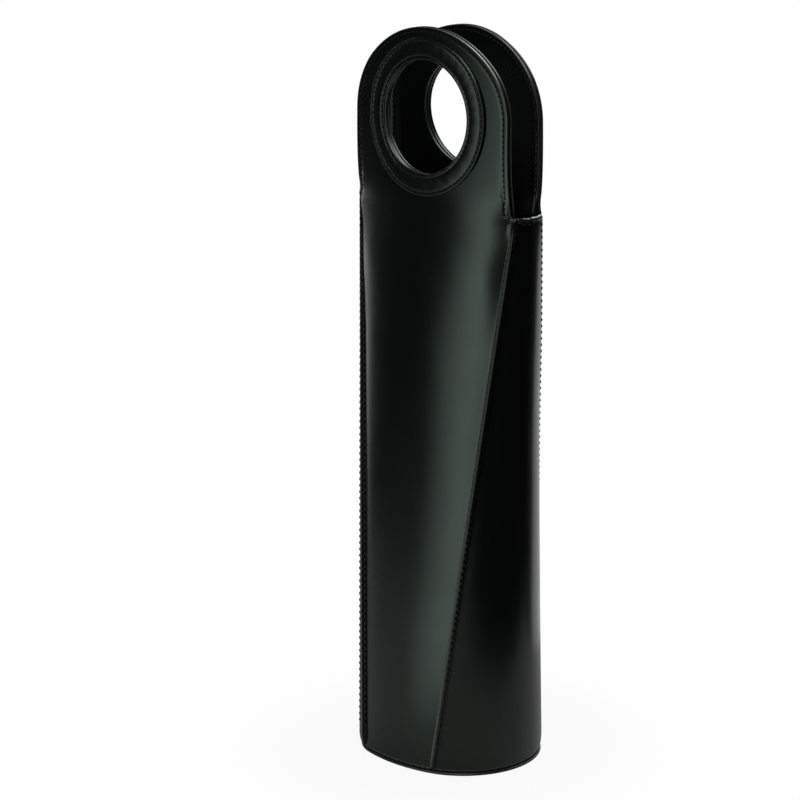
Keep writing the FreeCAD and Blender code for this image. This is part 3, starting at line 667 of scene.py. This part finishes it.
def tab_grid(bottom, inset, hole_radius):
    """The handle's tab as rings (x, z) from the hand hole out to the outline. The outline closes along
    the joining line through the given x places. Rings near both edges keep fixed distances from them."""
    base = np.stack([bottom, np.full_like(bottom, JOIN_Z)], axis=1)[1:-1]
    ray = np.concatenate([handle_outline(inset), base]) - [0, HOLE_Z]
    reach = np.linalg.norm(ray, axis=1)
    ray /= reach[:, None]
    near_hole = np.broadcast_to(hole_radius + HOLE_STEPS[:, None], (len(HOLE_STEPS), len(ray)))
    near_edge = reach - RIM_STEPS[:, None]
    share = np.linspace(0, 1, TAB_STEPS)[1:-1, None]
    between = near_hole[-1:] * (1 - share) + near_edge[:1] * share
    radius = np.concatenate([near_hole, between, near_edge])
    return radius * ray[:, 0], HOLE_Z + radius * ray[:, 1]


def dent(gap):
    """Depth of the shallow furrow that a row of tight stitches pulls into the leather: a bell curve of
    the distance from the row."""
    return STITCH_DENT * np.exp(-((gap - EDGE_ROW) / STITCH_DENT_WIDTH) ** 2)


def tab_points(x, z, depth):
    """Points of the handle's tab at a depth behind its outer face."""
    return points_of(x, depth - face_depth(x, z), z)


def fold_with(piece):
    """Bakes a sheet's placement into its points."""
    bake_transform(piece)


panel_z = np.concatenate([wall_z, np.linspace(MOUTH_ROWS_LOW, JOIN_Z, SHOULDER_ROWS)])[:, None]
right_x, right_depth = panel_half(panel_z, 1, FLARE, FLARE_MIX)
left_x, left_depth = panel_half(panel_z, -1, LEFT_FLARE, LEFT_FLARE_MIX)
panel_x, panel_depth = joined(-left_x, right_x), joined(left_depth, right_depth)
valley_gap = FIN_SPAN + VALLEY_IN - (VALLEY_IN + VALLEY_OUT) * VALLEY_STEPS
half_gap = np.concatenate([np.full(PANEL_STEPS - 1, FAR_GAP), valley_gap, FIN_STEPS])
panel_gap = joined(half_gap, half_gap)
flatness = np.clip(1 - (np.abs(panel_x) / right_x[:, PANEL_STEPS:PANEL_STEPS + 1]) ** 4, 0, 1)
panel_depth = panel_depth + flatness * ripple(panel_x, panel_z) * ease(*RIPPLE_FADE, panel_z)
panel_grid = points_of(panel_x, dent(panel_gap) * ease(*DENT_RISE, panel_z) - panel_depth, panel_z)
tab_x, tab_z = tab_grid(panel_x[-1], 0.0, HOLE_RADIUS)
tab_gap = rim_distance(tab_x, tab_z)
outer_tab = tab_points(tab_x, tab_z, dent(tab_gap))
cut_gap = np.minimum(tab_gap, np.hypot(tab_x, tab_z - HOLE_Z) - HOLE_RADIUS)
# The pale edge colour reaches further from the fin edges lower down and shows along the hem, and the cut rim
# is paler below the shoulder: partly edge wear, partly a painted highlight for the thin light line there.
fin_share = FIN_EDGE_SHARE + (1 - FIN_EDGE_SHARE) * ease(*FIN_EDGE_RISE, panel_z)
wall_gap = np.minimum(panel_gap * fin_share, panel_z - HEM_Z)
raw_wear_and_highlight = RAW_EDGE_WEAR_AND_HIGHLIGHT * ease(*RAW_EDGE_FALL, panel_z)
seam_gap = np.broadcast_to(CUT_EDGE_REACH * (1 - raw_wear_and_highlight), panel_x.shape)
front_values = {"edge_gap": np.concatenate([wall_gap.T.ravel(), cut_gap.ravel()]),
                "seam_gap": np.concatenate([seam_gap.T.ravel(), np.full(cut_gap.size, CUT_EDGE_REACH)])}
CUT_FINISH = dict(dark=(0.0008, 0.0009, 0.0008), pale=(0.003, 0.0032, 0.003), rough=(0.34, 0.26),
                  grain=0.4, bump=0.12)
raw_edge = leather("raw_cut_edge", **CUT_FINISH, edge_attribute="seam_gap")
HANDLES = (("front", np.asarray), ("back", behind))
for side, place in HANDLES:
    sheet = skin(side + "_leather", (place(np.swapaxes(panel_grid, 0, 1)), False, False),
                 (place(outer_tab), False, True), values=front_values)
    thicken(sheet, LEATHER, CUT_ROUND)
    settle(sheet, wall_leather, None, "leather", side + "_panel", side + "_handle_leather", rim=raw_edge)
    fold_with(sheet)

# Handle boards: a stiff board between the two leathers of each handle, cut a little smaller, so that it
# shows only as the dark line between two bright edges. Its near-black colour, much darker than the base's
# millboard, is painted shade for that narrow gap.
BOARD_INSET, BOARD_FROM, BOARD_THICK, BOARD_COLUMNS = 0.7, 1.2, 1.2, 60
# Near-black board: painted shade for the narrow gap between the handle's two leather edges.
dark_board = board_material("dark_millboard", dark=(0.002, 0.002, 0.002), pale=(0.008, 0.008, 0.007))
bottom = np.linspace(-HANDLE_HALF + BOARD_INSET, HANDLE_HALF - BOARD_INSET, BOARD_COLUMNS)
board_grid = tab_points(*tab_grid(bottom, BOARD_INSET, HOLE_RADIUS + BOARD_INSET), BOARD_FROM)
for side, place in HANDLES:
    board = skin(side + "_board", (place(board_grid), False, True))
    thicken(board, BOARD_THICK)
    settle(board, dark_board, side + "_handle", "board", side + "_handle_board")

# Handle facings: the inner leather of each handle, cut to the same outline and sewn to the outer one
# along the edge. Its lower end is tucked down inside the pouch's mouth.
FACING_BACK, FACING_LOW, FACING_ROWS = 3.6, 297.5, 14
facing_x, facing_gap, facing_z = np.broadcast_arrays(
    panel_x[-1], panel_gap, np.linspace(FACING_LOW, JOIN_Z, FACING_ROWS)[:, None])
facing_low = tab_points(facing_x, facing_z, FACING_BACK - dent(facing_gap) * ease(*DENT_RISE, facing_z))
inner_tab = tab_points(tab_x, tab_z, FACING_BACK - dent(tab_gap))
facing_values = {"edge_gap": np.concatenate([facing_gap.ravel(), cut_gap.T.ravel()])}
burnished_edge = leather("burnished_cut_edge", **CUT_FINISH)
for side, place in HANDLES:
    facing = skin(side + "_facing_leather", (place(facing_low), False, False),
                  (place(np.swapaxes(inner_tab, 0, 1)), True, False), values=facing_values)
    thicken(facing, LEATHER, CUT_ROUND)
    settle(facing, wall_leather, None, "leather", side + "_handle_facing", rim=burnished_edge)
    fold_with(facing)

# Wall linings: thin black cloth glued to the inside of the four walls, from the base up to the mouth.
# Front and back end under the handle's facing, and the sides run up into the binding.
LINING_DEPTH, LINING_THICK, LINING_SEAM = 2.1, 0.7, 3.4
LINING_LOW, LINING_HIGH, SIDE_LINING_HIGH = 4.3, 296.5, 303.0
LINING_ROWS, LINING_COLUMNS = 70, 41


def front_lining():
    """Points of the front lining: the outer face moved in by the lining's depth, up to the corner seams."""
    z = np.linspace(LINING_LOW, LINING_HIGH, LINING_ROWS)[:, None]
    x = np.linspace(-1, 1, LINING_COLUMNS) * (wall_at(z)["corner_x"] - LINING_SEAM)
    return tab_points(x, z, LINING_DEPTH)


def side_lining(sway):
    """Points of a right lining: the gusset's arc moved in by the lining's depth, without valley and fin."""
    z = np.linspace(LINING_LOW, SIDE_LINING_HIGH, LINING_ROWS)[:, None]
    half_x, half_y = (half[:, :GUSSET_STEPS - 1] for half in gusset_half(z, sway))
    x, y = joined(half_x, half_x), joined(-half_y, half_y)
    return points_of(x - LINING_DEPTH - MOUTH_TUCK * slack_at(y, z) * ease(*MOUTH_RISE, z), y, z)


for name, grid, wall in (("front", front_lining(), "front_leather"),
                         ("back", other_side(front_lining()), "back_leather"),
                         ("right", side_lining(FOOT_SWAY), "right_gusset_leather"),
                         ("left", other_side(side_lining(-FOOT_SWAY)), "left_gusset_leather")):
    lining = skin(name + "_lining_cloth", (grid, False, False))
    thicken(lining, LINING_THICK)
    settle(lining, lining_cloth, "pouch", "lining", name + "_lining")

# Gusset bindings: the top edge of each gusset is turned over a strip of leather and pressed round. It
# wrinkles a little between the two handles, and its shiny roll catches the light.
ROLL_OUT, ROLL_IN, ROLL_HIGH, ROLL_LOW = 0.4, 2.6, 0.9, 2.0
ROLL_SIDES, ROLL_PAST_CORNER = 24, 0.4
WRINKLES, WRINKLE_LIFT_SHARE = ((0.18, 0.9, 0.8), (0.05, 2.1, 2.0)), 0.5


def edge_roll(path):
    """The pressed roll along a gusset's top edge: an oval carried along the edge, with small waves as
    wrinkles, closed to a point at both ends."""
    outward = unit(np.cross(np.gradient(path, axis=0), [0, 0, 1]))
    keep = np.abs(path[:, 1]) <= SHOULDER["corner_y"] + ROLL_PAST_CORNER
    path, outward = path[keep], outward[keep]
    turn = np.linspace(0, 2 * np.pi, ROLL_SIDES, endpoint=False)[:, None]
    wrinkle = sum(height * np.sin(path[:, 1] * rate + start) for height, rate, start in WRINKLES)
    across = (ROLL_OUT - ROLL_IN) / 2 + (ROLL_OUT + ROLL_IN) / 2 * np.cos(turn)
    middle = (ROLL_HIGH + WRINKLE_LIFT_SHARE * wrinkle - ROLL_LOW) / 2
    up = middle + (ROLL_HIGH + wrinkle + ROLL_LOW) / 2 * np.sin(turn)
    roll = path + outward * across[:, :, None]
    roll[:, :, 2] += up
    core = np.broadcast_to(roll.mean(axis=0), roll.shape)
    return np.concatenate([core[:, :1], roll, core[:, -1:]], axis=1)


shiny_leather = leather("pressed_shiny_leather", dark=(0.006, 0.0065, 0.006), pale=(0.02, 0.021, 0.02),
                        rough=(0.22, 0.16), grain=0.7, bump=0.2)
for side in ("right", "left"):
    binding = skin(side + "_binding_roll", (edge_roll(gussets[side][-1]), True, False), closed=True)
    settle(binding, shiny_leather, "pouch", "leather", side + "_binding")

# Ring patches: a flat ring of leather sewn on round each hand hole with two rows of stitches. The
# stitches pull their furrows in, so the leather stands up softly between the rows.
RING_OUT, RING_IN, RING_THICK, RING_PUFF = 41.4, 29.9, 1.5, 0.3
RING_OUTER_ROW, RING_INNER_ROW = 39.5, 32.0
RING_EDGE, RING_EDGE_STEPS, RING_SINK = 0.7, 6, 0.05
RING_FLAT_MARGIN, RING_FLAT_STEPS, RING_SIDES = 1, 30, 200
RING_DENT, RING_DENT_WIDTH = 0.3, 0.5
BLOTCH, BLOTCH_WAVES = 0.03, ((23, 3, 0), (37, -2, 1))


def ring_height(radius):
    """Height of the ring's face: its thickness, rounded off at both edges on a quarter circle, raised on
    half a wave between the rows and dented at each row."""
    inward = np.minimum(radius - RING_IN, RING_OUT - radius)
    near = np.clip(inward / RING_EDGE, 0, 1)
    edge = RING_EDGE * (1 - np.sqrt(1 - (1 - near) ** 2))
    between = np.clip((radius - RING_INNER_ROW) / (RING_OUTER_ROW - RING_INNER_ROW), 0, 1)
    rows = np.minimum(np.abs(radius - RING_INNER_ROW), np.abs(radius - RING_OUTER_ROW))
    furrow = RING_DENT * np.exp(-(rows / RING_DENT_WIDTH) ** 2)
    return RING_THICK - edge + RING_PUFF * np.sin(np.pi * between) - furrow


near_edge = RING_EDGE * (1 - np.cos(np.linspace(0, np.pi / 2, RING_EDGE_STEPS)))
flat_part = np.linspace(RING_IN + RING_FLAT_MARGIN, RING_OUT - RING_FLAT_MARGIN, RING_FLAT_STEPS)
across = np.concatenate([RING_IN + near_edge, flat_part, RING_OUT - near_edge[::-1]])
ring_radius = np.concatenate([across, [RING_OUT, RING_IN]])[:, None]
ring_up = np.concatenate([ring_height(across), [-RING_SINK, -RING_SINK]])[:, None]
angle = np.linspace(0, 2 * np.pi, RING_SIDES, endpoint=False)
blotch = BLOTCH * sum(np.sin(turns * angle + ring_radius / wide + start)
                      for turns, wide, start in BLOTCH_WAVES)
lift = ring_up + blotch * np.clip(ring_up / RING_THICK, 0, 1) ** 4
ring_grid = tab_points(ring_radius * np.cos(angle), HOLE_Z + ring_radius * np.sin(angle), -lift)
ring_leather = leather("ring_leather", **SMOOTH_BLACK, rough=(0.32, 0.24), bump=0.12)
for side, place in HANDLES:
    ring = skin(side + "_ring_leather", (place(ring_grid), True, True), closed=True)
    settle(ring, ring_leather, side + "_handle", "leather", side + "_ring_patch")

# Stitches: black waxed thread, in tight slanted stitches that dip into the leather at both ends. The
# same needle sewed the handles' edges, the rings, the corner fins, the gusset hems and the base.
THREAD, STITCH_SHARE, SLANT, SEAM_SINK = 0.42, 0.64, 0.12, 0.1
STITCH_RINGS, STITCH_SIDES = 7, 6
STITCH_FULL, STITCH_TIP = 1.08, 0.02
STITCH_BOW, STITCH_DIP = 0.55, 1.15
HEADING_STEP = 0.3
HANDLE_PITCH, RING_PITCH, SEAM_PITCH = 2.9, 2.8, 3.5
EDGE_START, SEAM_LOW, SEAM_HIGH = 304.2, 14, 302.5
SEAM_DEEP, SEAM_NEAR_EDGE = 2.0, 0.8
HEM_ROW_DROP, HEM_HALF = 2.4, 6.6
RING_ROW_POINTS, RING_ROW_STEP = 241, 0.1
TWIST, TWIST_SCALE, TWIST_DISTORTION, THREAD_SHINE = (0.6, 0.5, 0.7), 700, 1.5, 0.2


def thread_material(name):
    """Waxed thread: a fine slanted and uneven wave for the twist, its crests paler and smoother."""
    material, tree, shader = new_material(name)
    feed(tree, shader, {"Specular IOR Level": THREAD_SHINE})
    lay_pattern(tree, shader, wave(tree, TWIST, TWIST_SCALE, TWIST_DISTORTION), dark=(0.003, 0.003, 0.003),
                pale=(0.010, 0.0105, 0.0095), rough=(0, 1, 0.9, 0.7), relief=(0.4, 0.1))
    return material


def stitches(path, normal, pitch):
    """Stitches along a line of points with its surface normals. Each is a short bowed tube, round in
    section, that narrows at both ends and sinks there. Gives points (stitch, ring, side, 3)."""
    length = length_along(path)
    count = max(int(length[-1] / pitch), 1)
    middle = (np.arange(count) + 0.5) * length[-1] / count
    ahead, back = (values_at(path, length, middle + step) for step in (HEADING_STEP, -HEADING_STEP))
    along = unit(ahead - back)
    up = values_at(normal, length, middle)
    up = unit(up - along * (up * along).sum(axis=-1, keepdims=True))
    along = unit(along + SLANT * np.cross(up, along))
    side = np.cross(up, along)
    ring = np.linspace(-1, 1, STITCH_RINGS)
    thin = THREAD * np.sqrt(np.clip(STITCH_FULL - np.abs(ring) ** 3, STITCH_TIP, 1))
    bow = THREAD * (STITCH_BOW - STITCH_DIP * ring ** 2)
    turn = np.linspace(0, 2 * np.pi, STITCH_SIDES, endpoint=False)
    half = STITCH_SHARE * length[-1] / count / 2
    centre = (values_at(path, length, middle)[:, None] + along[:, None] * (half * ring)[None, :, None]
              + up[:, None] * bow[None, :, None])
    return (centre[:, :, None]
            + side[:, None, None] * (thin[:, None] * np.cos(turn))[None, :, :, None]
            + up[:, None, None] * (thin[:, None] * np.sin(turn))[None, :, :, None])


def stitch_skin(name, *rows):
    """One piece of all the stitches of a seam: quads round each tube and a many-sided cap at each end."""
    points = np.concatenate(rows)
    count, rings, sides = points.shape[:3]
    first = np.arange(count)[:, None, None] * rings * sides
    quads = (grid_faces(rings, sides, 0, False, True)[None] + first).reshape(-1, 4)[:, ::-1]
    start = np.arange(sides)[None] + first[:, 0]
    finish = start[:, ::-1] + (rings - 1) * sides
    faces = quads.tolist() + start.tolist() + finish.tolist()
    return new_piece(name, points.reshape(-1, 3), faces, {}, False, True)


def grid_normals(grid, wrap=False):
    """Normals of a grid of points: the cross product of its two directions."""
    if wrap:
        across = (np.roll(grid, -1, axis=1) - np.roll(grid, 1, axis=1)) / 2
    else:
        across = np.gradient(grid, axis=1)
    return unit(np.cross(np.gradient(grid, axis=0), across))


def ring_row(radius):
    """Path and normals of a stitch row on the ring patch at one radius."""
    turn = np.linspace(0, 2 * np.pi, RING_ROW_POINTS)
    reach = radius + RING_ROW_STEP * np.array([-1, 0, 1])[:, None]
    grid = tab_points(reach * np.cos(turn), HOLE_Z + reach * np.sin(turn), -ring_height(radius))
    return grid[1], grid_normals(grid)[1]


black_thread = thread_material("waxed_thread")
panel_normals = -grid_normals(panel_grid)
outer_normals = grid_normals(outer_tab, wrap=True)
inner_normals = -grid_normals(inner_tab, wrap=True)
row_column = panel_grid.shape[1] - len(FIN_STEPS)
tab_row = outer_tab.shape[0] - len(FIN_STEPS), slice(0, len(handle_outline(0.0)))
low_run = panel_z[:, 0] > EDGE_START
outer_row, outer_row_normal = (
    np.concatenate([low[low_run, row_column][:-1], tab[tab_row], low[low_run, -1 - row_column][::-1][1:]])
    for low, tab in ((panel_grid, outer_tab), (panel_normals, outer_normals)))
edge_rows = ((outer_row, outer_row_normal), (inner_tab[tab_row], inner_normals[tab_row]))
for side, place in HANDLES:
    rows = [stitches(place(path), place(normal), HANDLE_PITCH) for path, normal in edge_rows]
    edge_thread = stitch_skin(side + "_edge_stitches", *rows)
    settle(edge_thread, black_thread, None, "thread", side + "_handle_edge_thread")
    fold_with(edge_thread)
    for label, radius in (("outer", RING_OUTER_ROW), ("inner", RING_INNER_ROW)):
        path, normal = ring_row(radius)
        thread = stitch_skin(side + "_ring_" + label + "_stitches",
                             stitches(place(path), place(normal), RING_PITCH))
        settle(thread, black_thread, side + "_handle", "thread", side + "_ring_" + label + "_thread")

deep_column, edge_column = (FIN_STEPS.tolist().index(gap) - len(FIN_STEPS)
                            for gap in (SEAM_DEEP, SEAM_NEAR_EDGE))
panel_run, gusset_run = ((z[:, 0] > SEAM_LOW) & (z[:, 0] < SEAM_HIGH) for z in (panel_z, gusset_z))
gusset_normals = {side: -grid_normals(gussets[side]) for side in gussets}
for name, place, panel_column, side, gusset_column in (
        ("front_right", np.asarray, deep_column, "right", -1 - edge_column),
        ("front_left", np.asarray, -1 - deep_column, "left", deep_column),
        ("back_left", other_side, deep_column, "left", -1 - edge_column),
        ("back_right", other_side, -1 - deep_column, "right", deep_column)):
    on_panel, on_gusset = (panel_run, panel_column), (gusset_run, gusset_column)
    rows = [stitches(line - SEAM_SINK * up, up, SEAM_PITCH)
            for line, up in ((place(panel_grid[on_panel]), place(panel_normals[on_panel])),
                             (gussets[side][on_gusset], gusset_normals[side][on_gusset]))]
    thread = stitch_skin(name + "_seam_stitches", *rows)
    settle(thread, black_thread, "pouch", "thread", name + "_seam_thread")

hem_index = int(np.argmin(np.abs(gusset_z - (GUSSET_TOP - HEM_ROW_DROP))))
for side in ("right", "left"):
    hem_row = hem_index, np.abs(gussets[side][hem_index, :, 1]) < HEM_HALF
    thread = stitch_skin(side + "_hem_stitches",
                         stitches(gussets[side][hem_row], gusset_normals[side][hem_row], RING_PITCH))
    settle(thread, black_thread, "pouch", "thread", side + "_hem_thread")

closed = np.concatenate([np.arange(OVAL_POINTS), [0]])
welt_path = points_of(*(oval + oval_normal * WELT_OUT).T, welt_z)[closed]
welt_thread = stitch_skin("base_welt_stitches",
                          stitches(welt_path, points_of(*oval_normal.T, 0)[closed], SEAM_PITCH))
settle(welt_thread, black_thread, "pouch", "thread", "base_welt_thread")

# Studio, in metres: a pale floor that runs off past the picture, a white surround, and soft boxes in
# front, on the left, behind and above, which draw the long highlights on the black leather.
FLOOR_HALF, FLOOR_CENTRE = 0.4, (-0.2, -0.2)
FLOOR_PALE, FLOOR_ROUGHNESS = (0.45, 0.45, 0.45), 0.9
SHADOW_NEAR, SHADOW_FAR, SHADOW_SHARE = 0.05, 0.16, 0.08
SURROUND, SURROUND_GLOSS = (0.008, 0.008, 0.008), 0.01
BOX_AIM = 0.2
STRIP_ANGLE, STRIP_FIRST, STRIP_LAST = 6, -23, 1
STRIPS = (dict(distance=0.46, tall=0.8, glow=2.55), dict(distance=0.2, tall=0.06, glow=1.15))


def seen_white(tree, gloss_share):
    """How much of the plain white background a ray sees: all for the camera and through glass, and a
    share of it in reflections."""
    ray = add(tree, "LightPath", {}).outputs
    gloss = sum_of(tree, "MULTIPLY_ADD", ray["Is Glossy Ray"], gloss_share, ray["Is Camera Ray"])
    through = sum_of(tree, "ADD", gloss, ray["Is Transmission Ray"])
    through.node.use_clamp = True
    return through


def floor_material(name):
    """Pale floor: white to the camera, with a share of its lit shade near the middle, which fades out
    with distance, so that the soft contact shadow stays; to the object an ordinary pale surface."""
    material, tree, shader = new_material(name)
    feed(tree, shader, {"Base Color": (*FLOOR_PALE, 1), "Roughness": FLOOR_ROUGHNESS})
    reach = add(tree, "VectorMath", {0: object_place(tree)})
    reach.operation = "LENGTH"
    plain = mapped(tree, reach.outputs["Value"], SHADOW_NEAR, SHADOW_FAR, 1 - SHADOW_SHARE, 1)
    plain.node.interpolation_type = "SMOOTHSTEP"
    white = add(tree, "Emission", {})
    mix = add(tree, "MixShader", {0: sum_of(tree, "MULTIPLY", plain, seen_white(tree, 0)),
                                  1: shader.outputs[0], 2: white.outputs[0]})
    feed(tree, tree.nodes["Material Output"], {"Surface": mix.outputs[0]})
    return material


floor_mesh = bpy.data.meshes.new("floor")
corners = np.array([[-1, -1], [1, -1], [1, 1], [-1, 1]]) * FLOOR_HALF + FLOOR_CENTRE
floor_mesh.from_pydata(points_of(*corners.T, 0).tolist(), [], [(0, 1, 2, 3)])
floor_mesh.materials.append(floor_material("pale_floor"))
floor = bpy.data.objects.new("floor", floor_mesh)
bpy.context.scene.collection.objects.link(floor)


def soft_box(name, azimuth, distance, height, width, tall, power, aim=BOX_AIM):
    """An area lamp round the object: azimuth 0 stands in front, 90 on the right, in degrees."""
    lamp = bpy.data.lights.new(name, "AREA")
    lamp.shape = "RECTANGLE"
    lamp.size, lamp.size_y, lamp.energy = width, tall, power
    box = bpy.data.objects.new(name, lamp)
    turn = np.radians(azimuth)
    box.location = (np.sin(turn) * distance, -np.cos(turn) * distance, height)
    box.rotation_euler = (Vector((0, 0, aim)) - box.location).to_track_quat("-Z", "Y").to_euler()
    box.visible_camera = False
    bpy.context.scene.collection.objects.link(box)


for strip in STRIPS:
    distance, tall = strip["distance"], strip["tall"]
    width = 2 * distance * np.tan(np.radians(STRIP_ANGLE / 2))
    for azimuth in range(STRIP_FIRST, STRIP_LAST + 1, STRIP_ANGLE):
        share = (azimuth - STRIP_FIRST + STRIP_ANGLE) / (STRIP_LAST - STRIP_FIRST + STRIP_ANGLE)
        power = strip["glow"] * share * np.pi * width * tall
        soft_box("front strip", azimuth, distance, tall / 2, width, tall, power, tall / 2)
soft_box("left box", azimuth=-86, distance=0.5, height=0.4, width=0.055, tall=0.8, power=0.34, aim=0.4)
soft_box("back box", azimuth=190, distance=0.45, height=0.35, width=0.5, tall=0.95, power=1.3, aim=0.35)
soft_box("top box", azimuth=40, distance=0.9, height=1.6, width=0.8, tall=0.8, power=17)
soft_box("back top box", azimuth=178, distance=0.9, height=1.1, width=0.9, tall=0.4, power=6, aim=0.4)

world = bpy.data.worlds.new("surround")
bpy.context.scene.world = world
world.use_nodes = True
tree = world.node_tree
fill = feed(tree, tree.nodes["Background"], {"Color": (*SURROUND, 1)})
white = add(tree, "Background", {"Color": (1, 1, 1, 1)})
mix = add(tree, "MixShader", {0: seen_white(tree, SURROUND_GLOSS), 1: fill.outputs[0], 2: white.outputs[0]})
feed(tree, tree.nodes["World Output"], {"Surface": mix.outputs[0]})

# Camera: it stands a metre and a half away at the front right corner, a little above the middle of the
# carrier, and looks slightly down. The shift of its place puts the carrier right of the middle.
CAMERA_AZIMUTH, CAMERA_ELEVATION, CAMERA_ROLL = 44.85, 14.19, -0.28
CAMERA_DISTANCE, CAMERA_RIGHT, CAMERA_UP = 1500.0, 26.28, 2.58
CAMERA_TARGET = np.array([0, 0, 200.0])
FOCAL_PIXELS, PICTURE_PIXELS, SENSOR = 2772.3, 800, 36.0
turn, rise = np.radians(CAMERA_AZIMUTH), np.radians(CAMERA_ELEVATION)
forward = np.array([-np.sin(turn) * np.cos(rise), np.cos(turn) * np.cos(rise), -np.sin(rise)])
right = np.array([np.cos(turn), np.sin(turn), 0])
upward = np.cross(right, forward)
camera_place = CAMERA_TARGET - forward * CAMERA_DISTANCE - right * CAMERA_RIGHT - upward * CAMERA_UP
camera_data = bpy.data.cameras.new("camera")
camera_data.sensor_width = SENSOR
camera_data.lens = FOCAL_PIXELS * SENSOR / PICTURE_PIXELS
camera = bpy.data.objects.new("camera", camera_data)
camera.location = camera_place * MILLIMETRE
upright = Euler((np.pi / 2 - rise, 0, turn)).to_matrix()
camera.rotation_euler = (upright @ Matrix.Rotation(np.radians(CAMERA_ROLL), 3, "Z")).to_euler()
bpy.context.scene.collection.objects.link(camera)
bpy.context.scene.camera = camera
bpy.context.scene.view_settings.view_transform = "Standard"
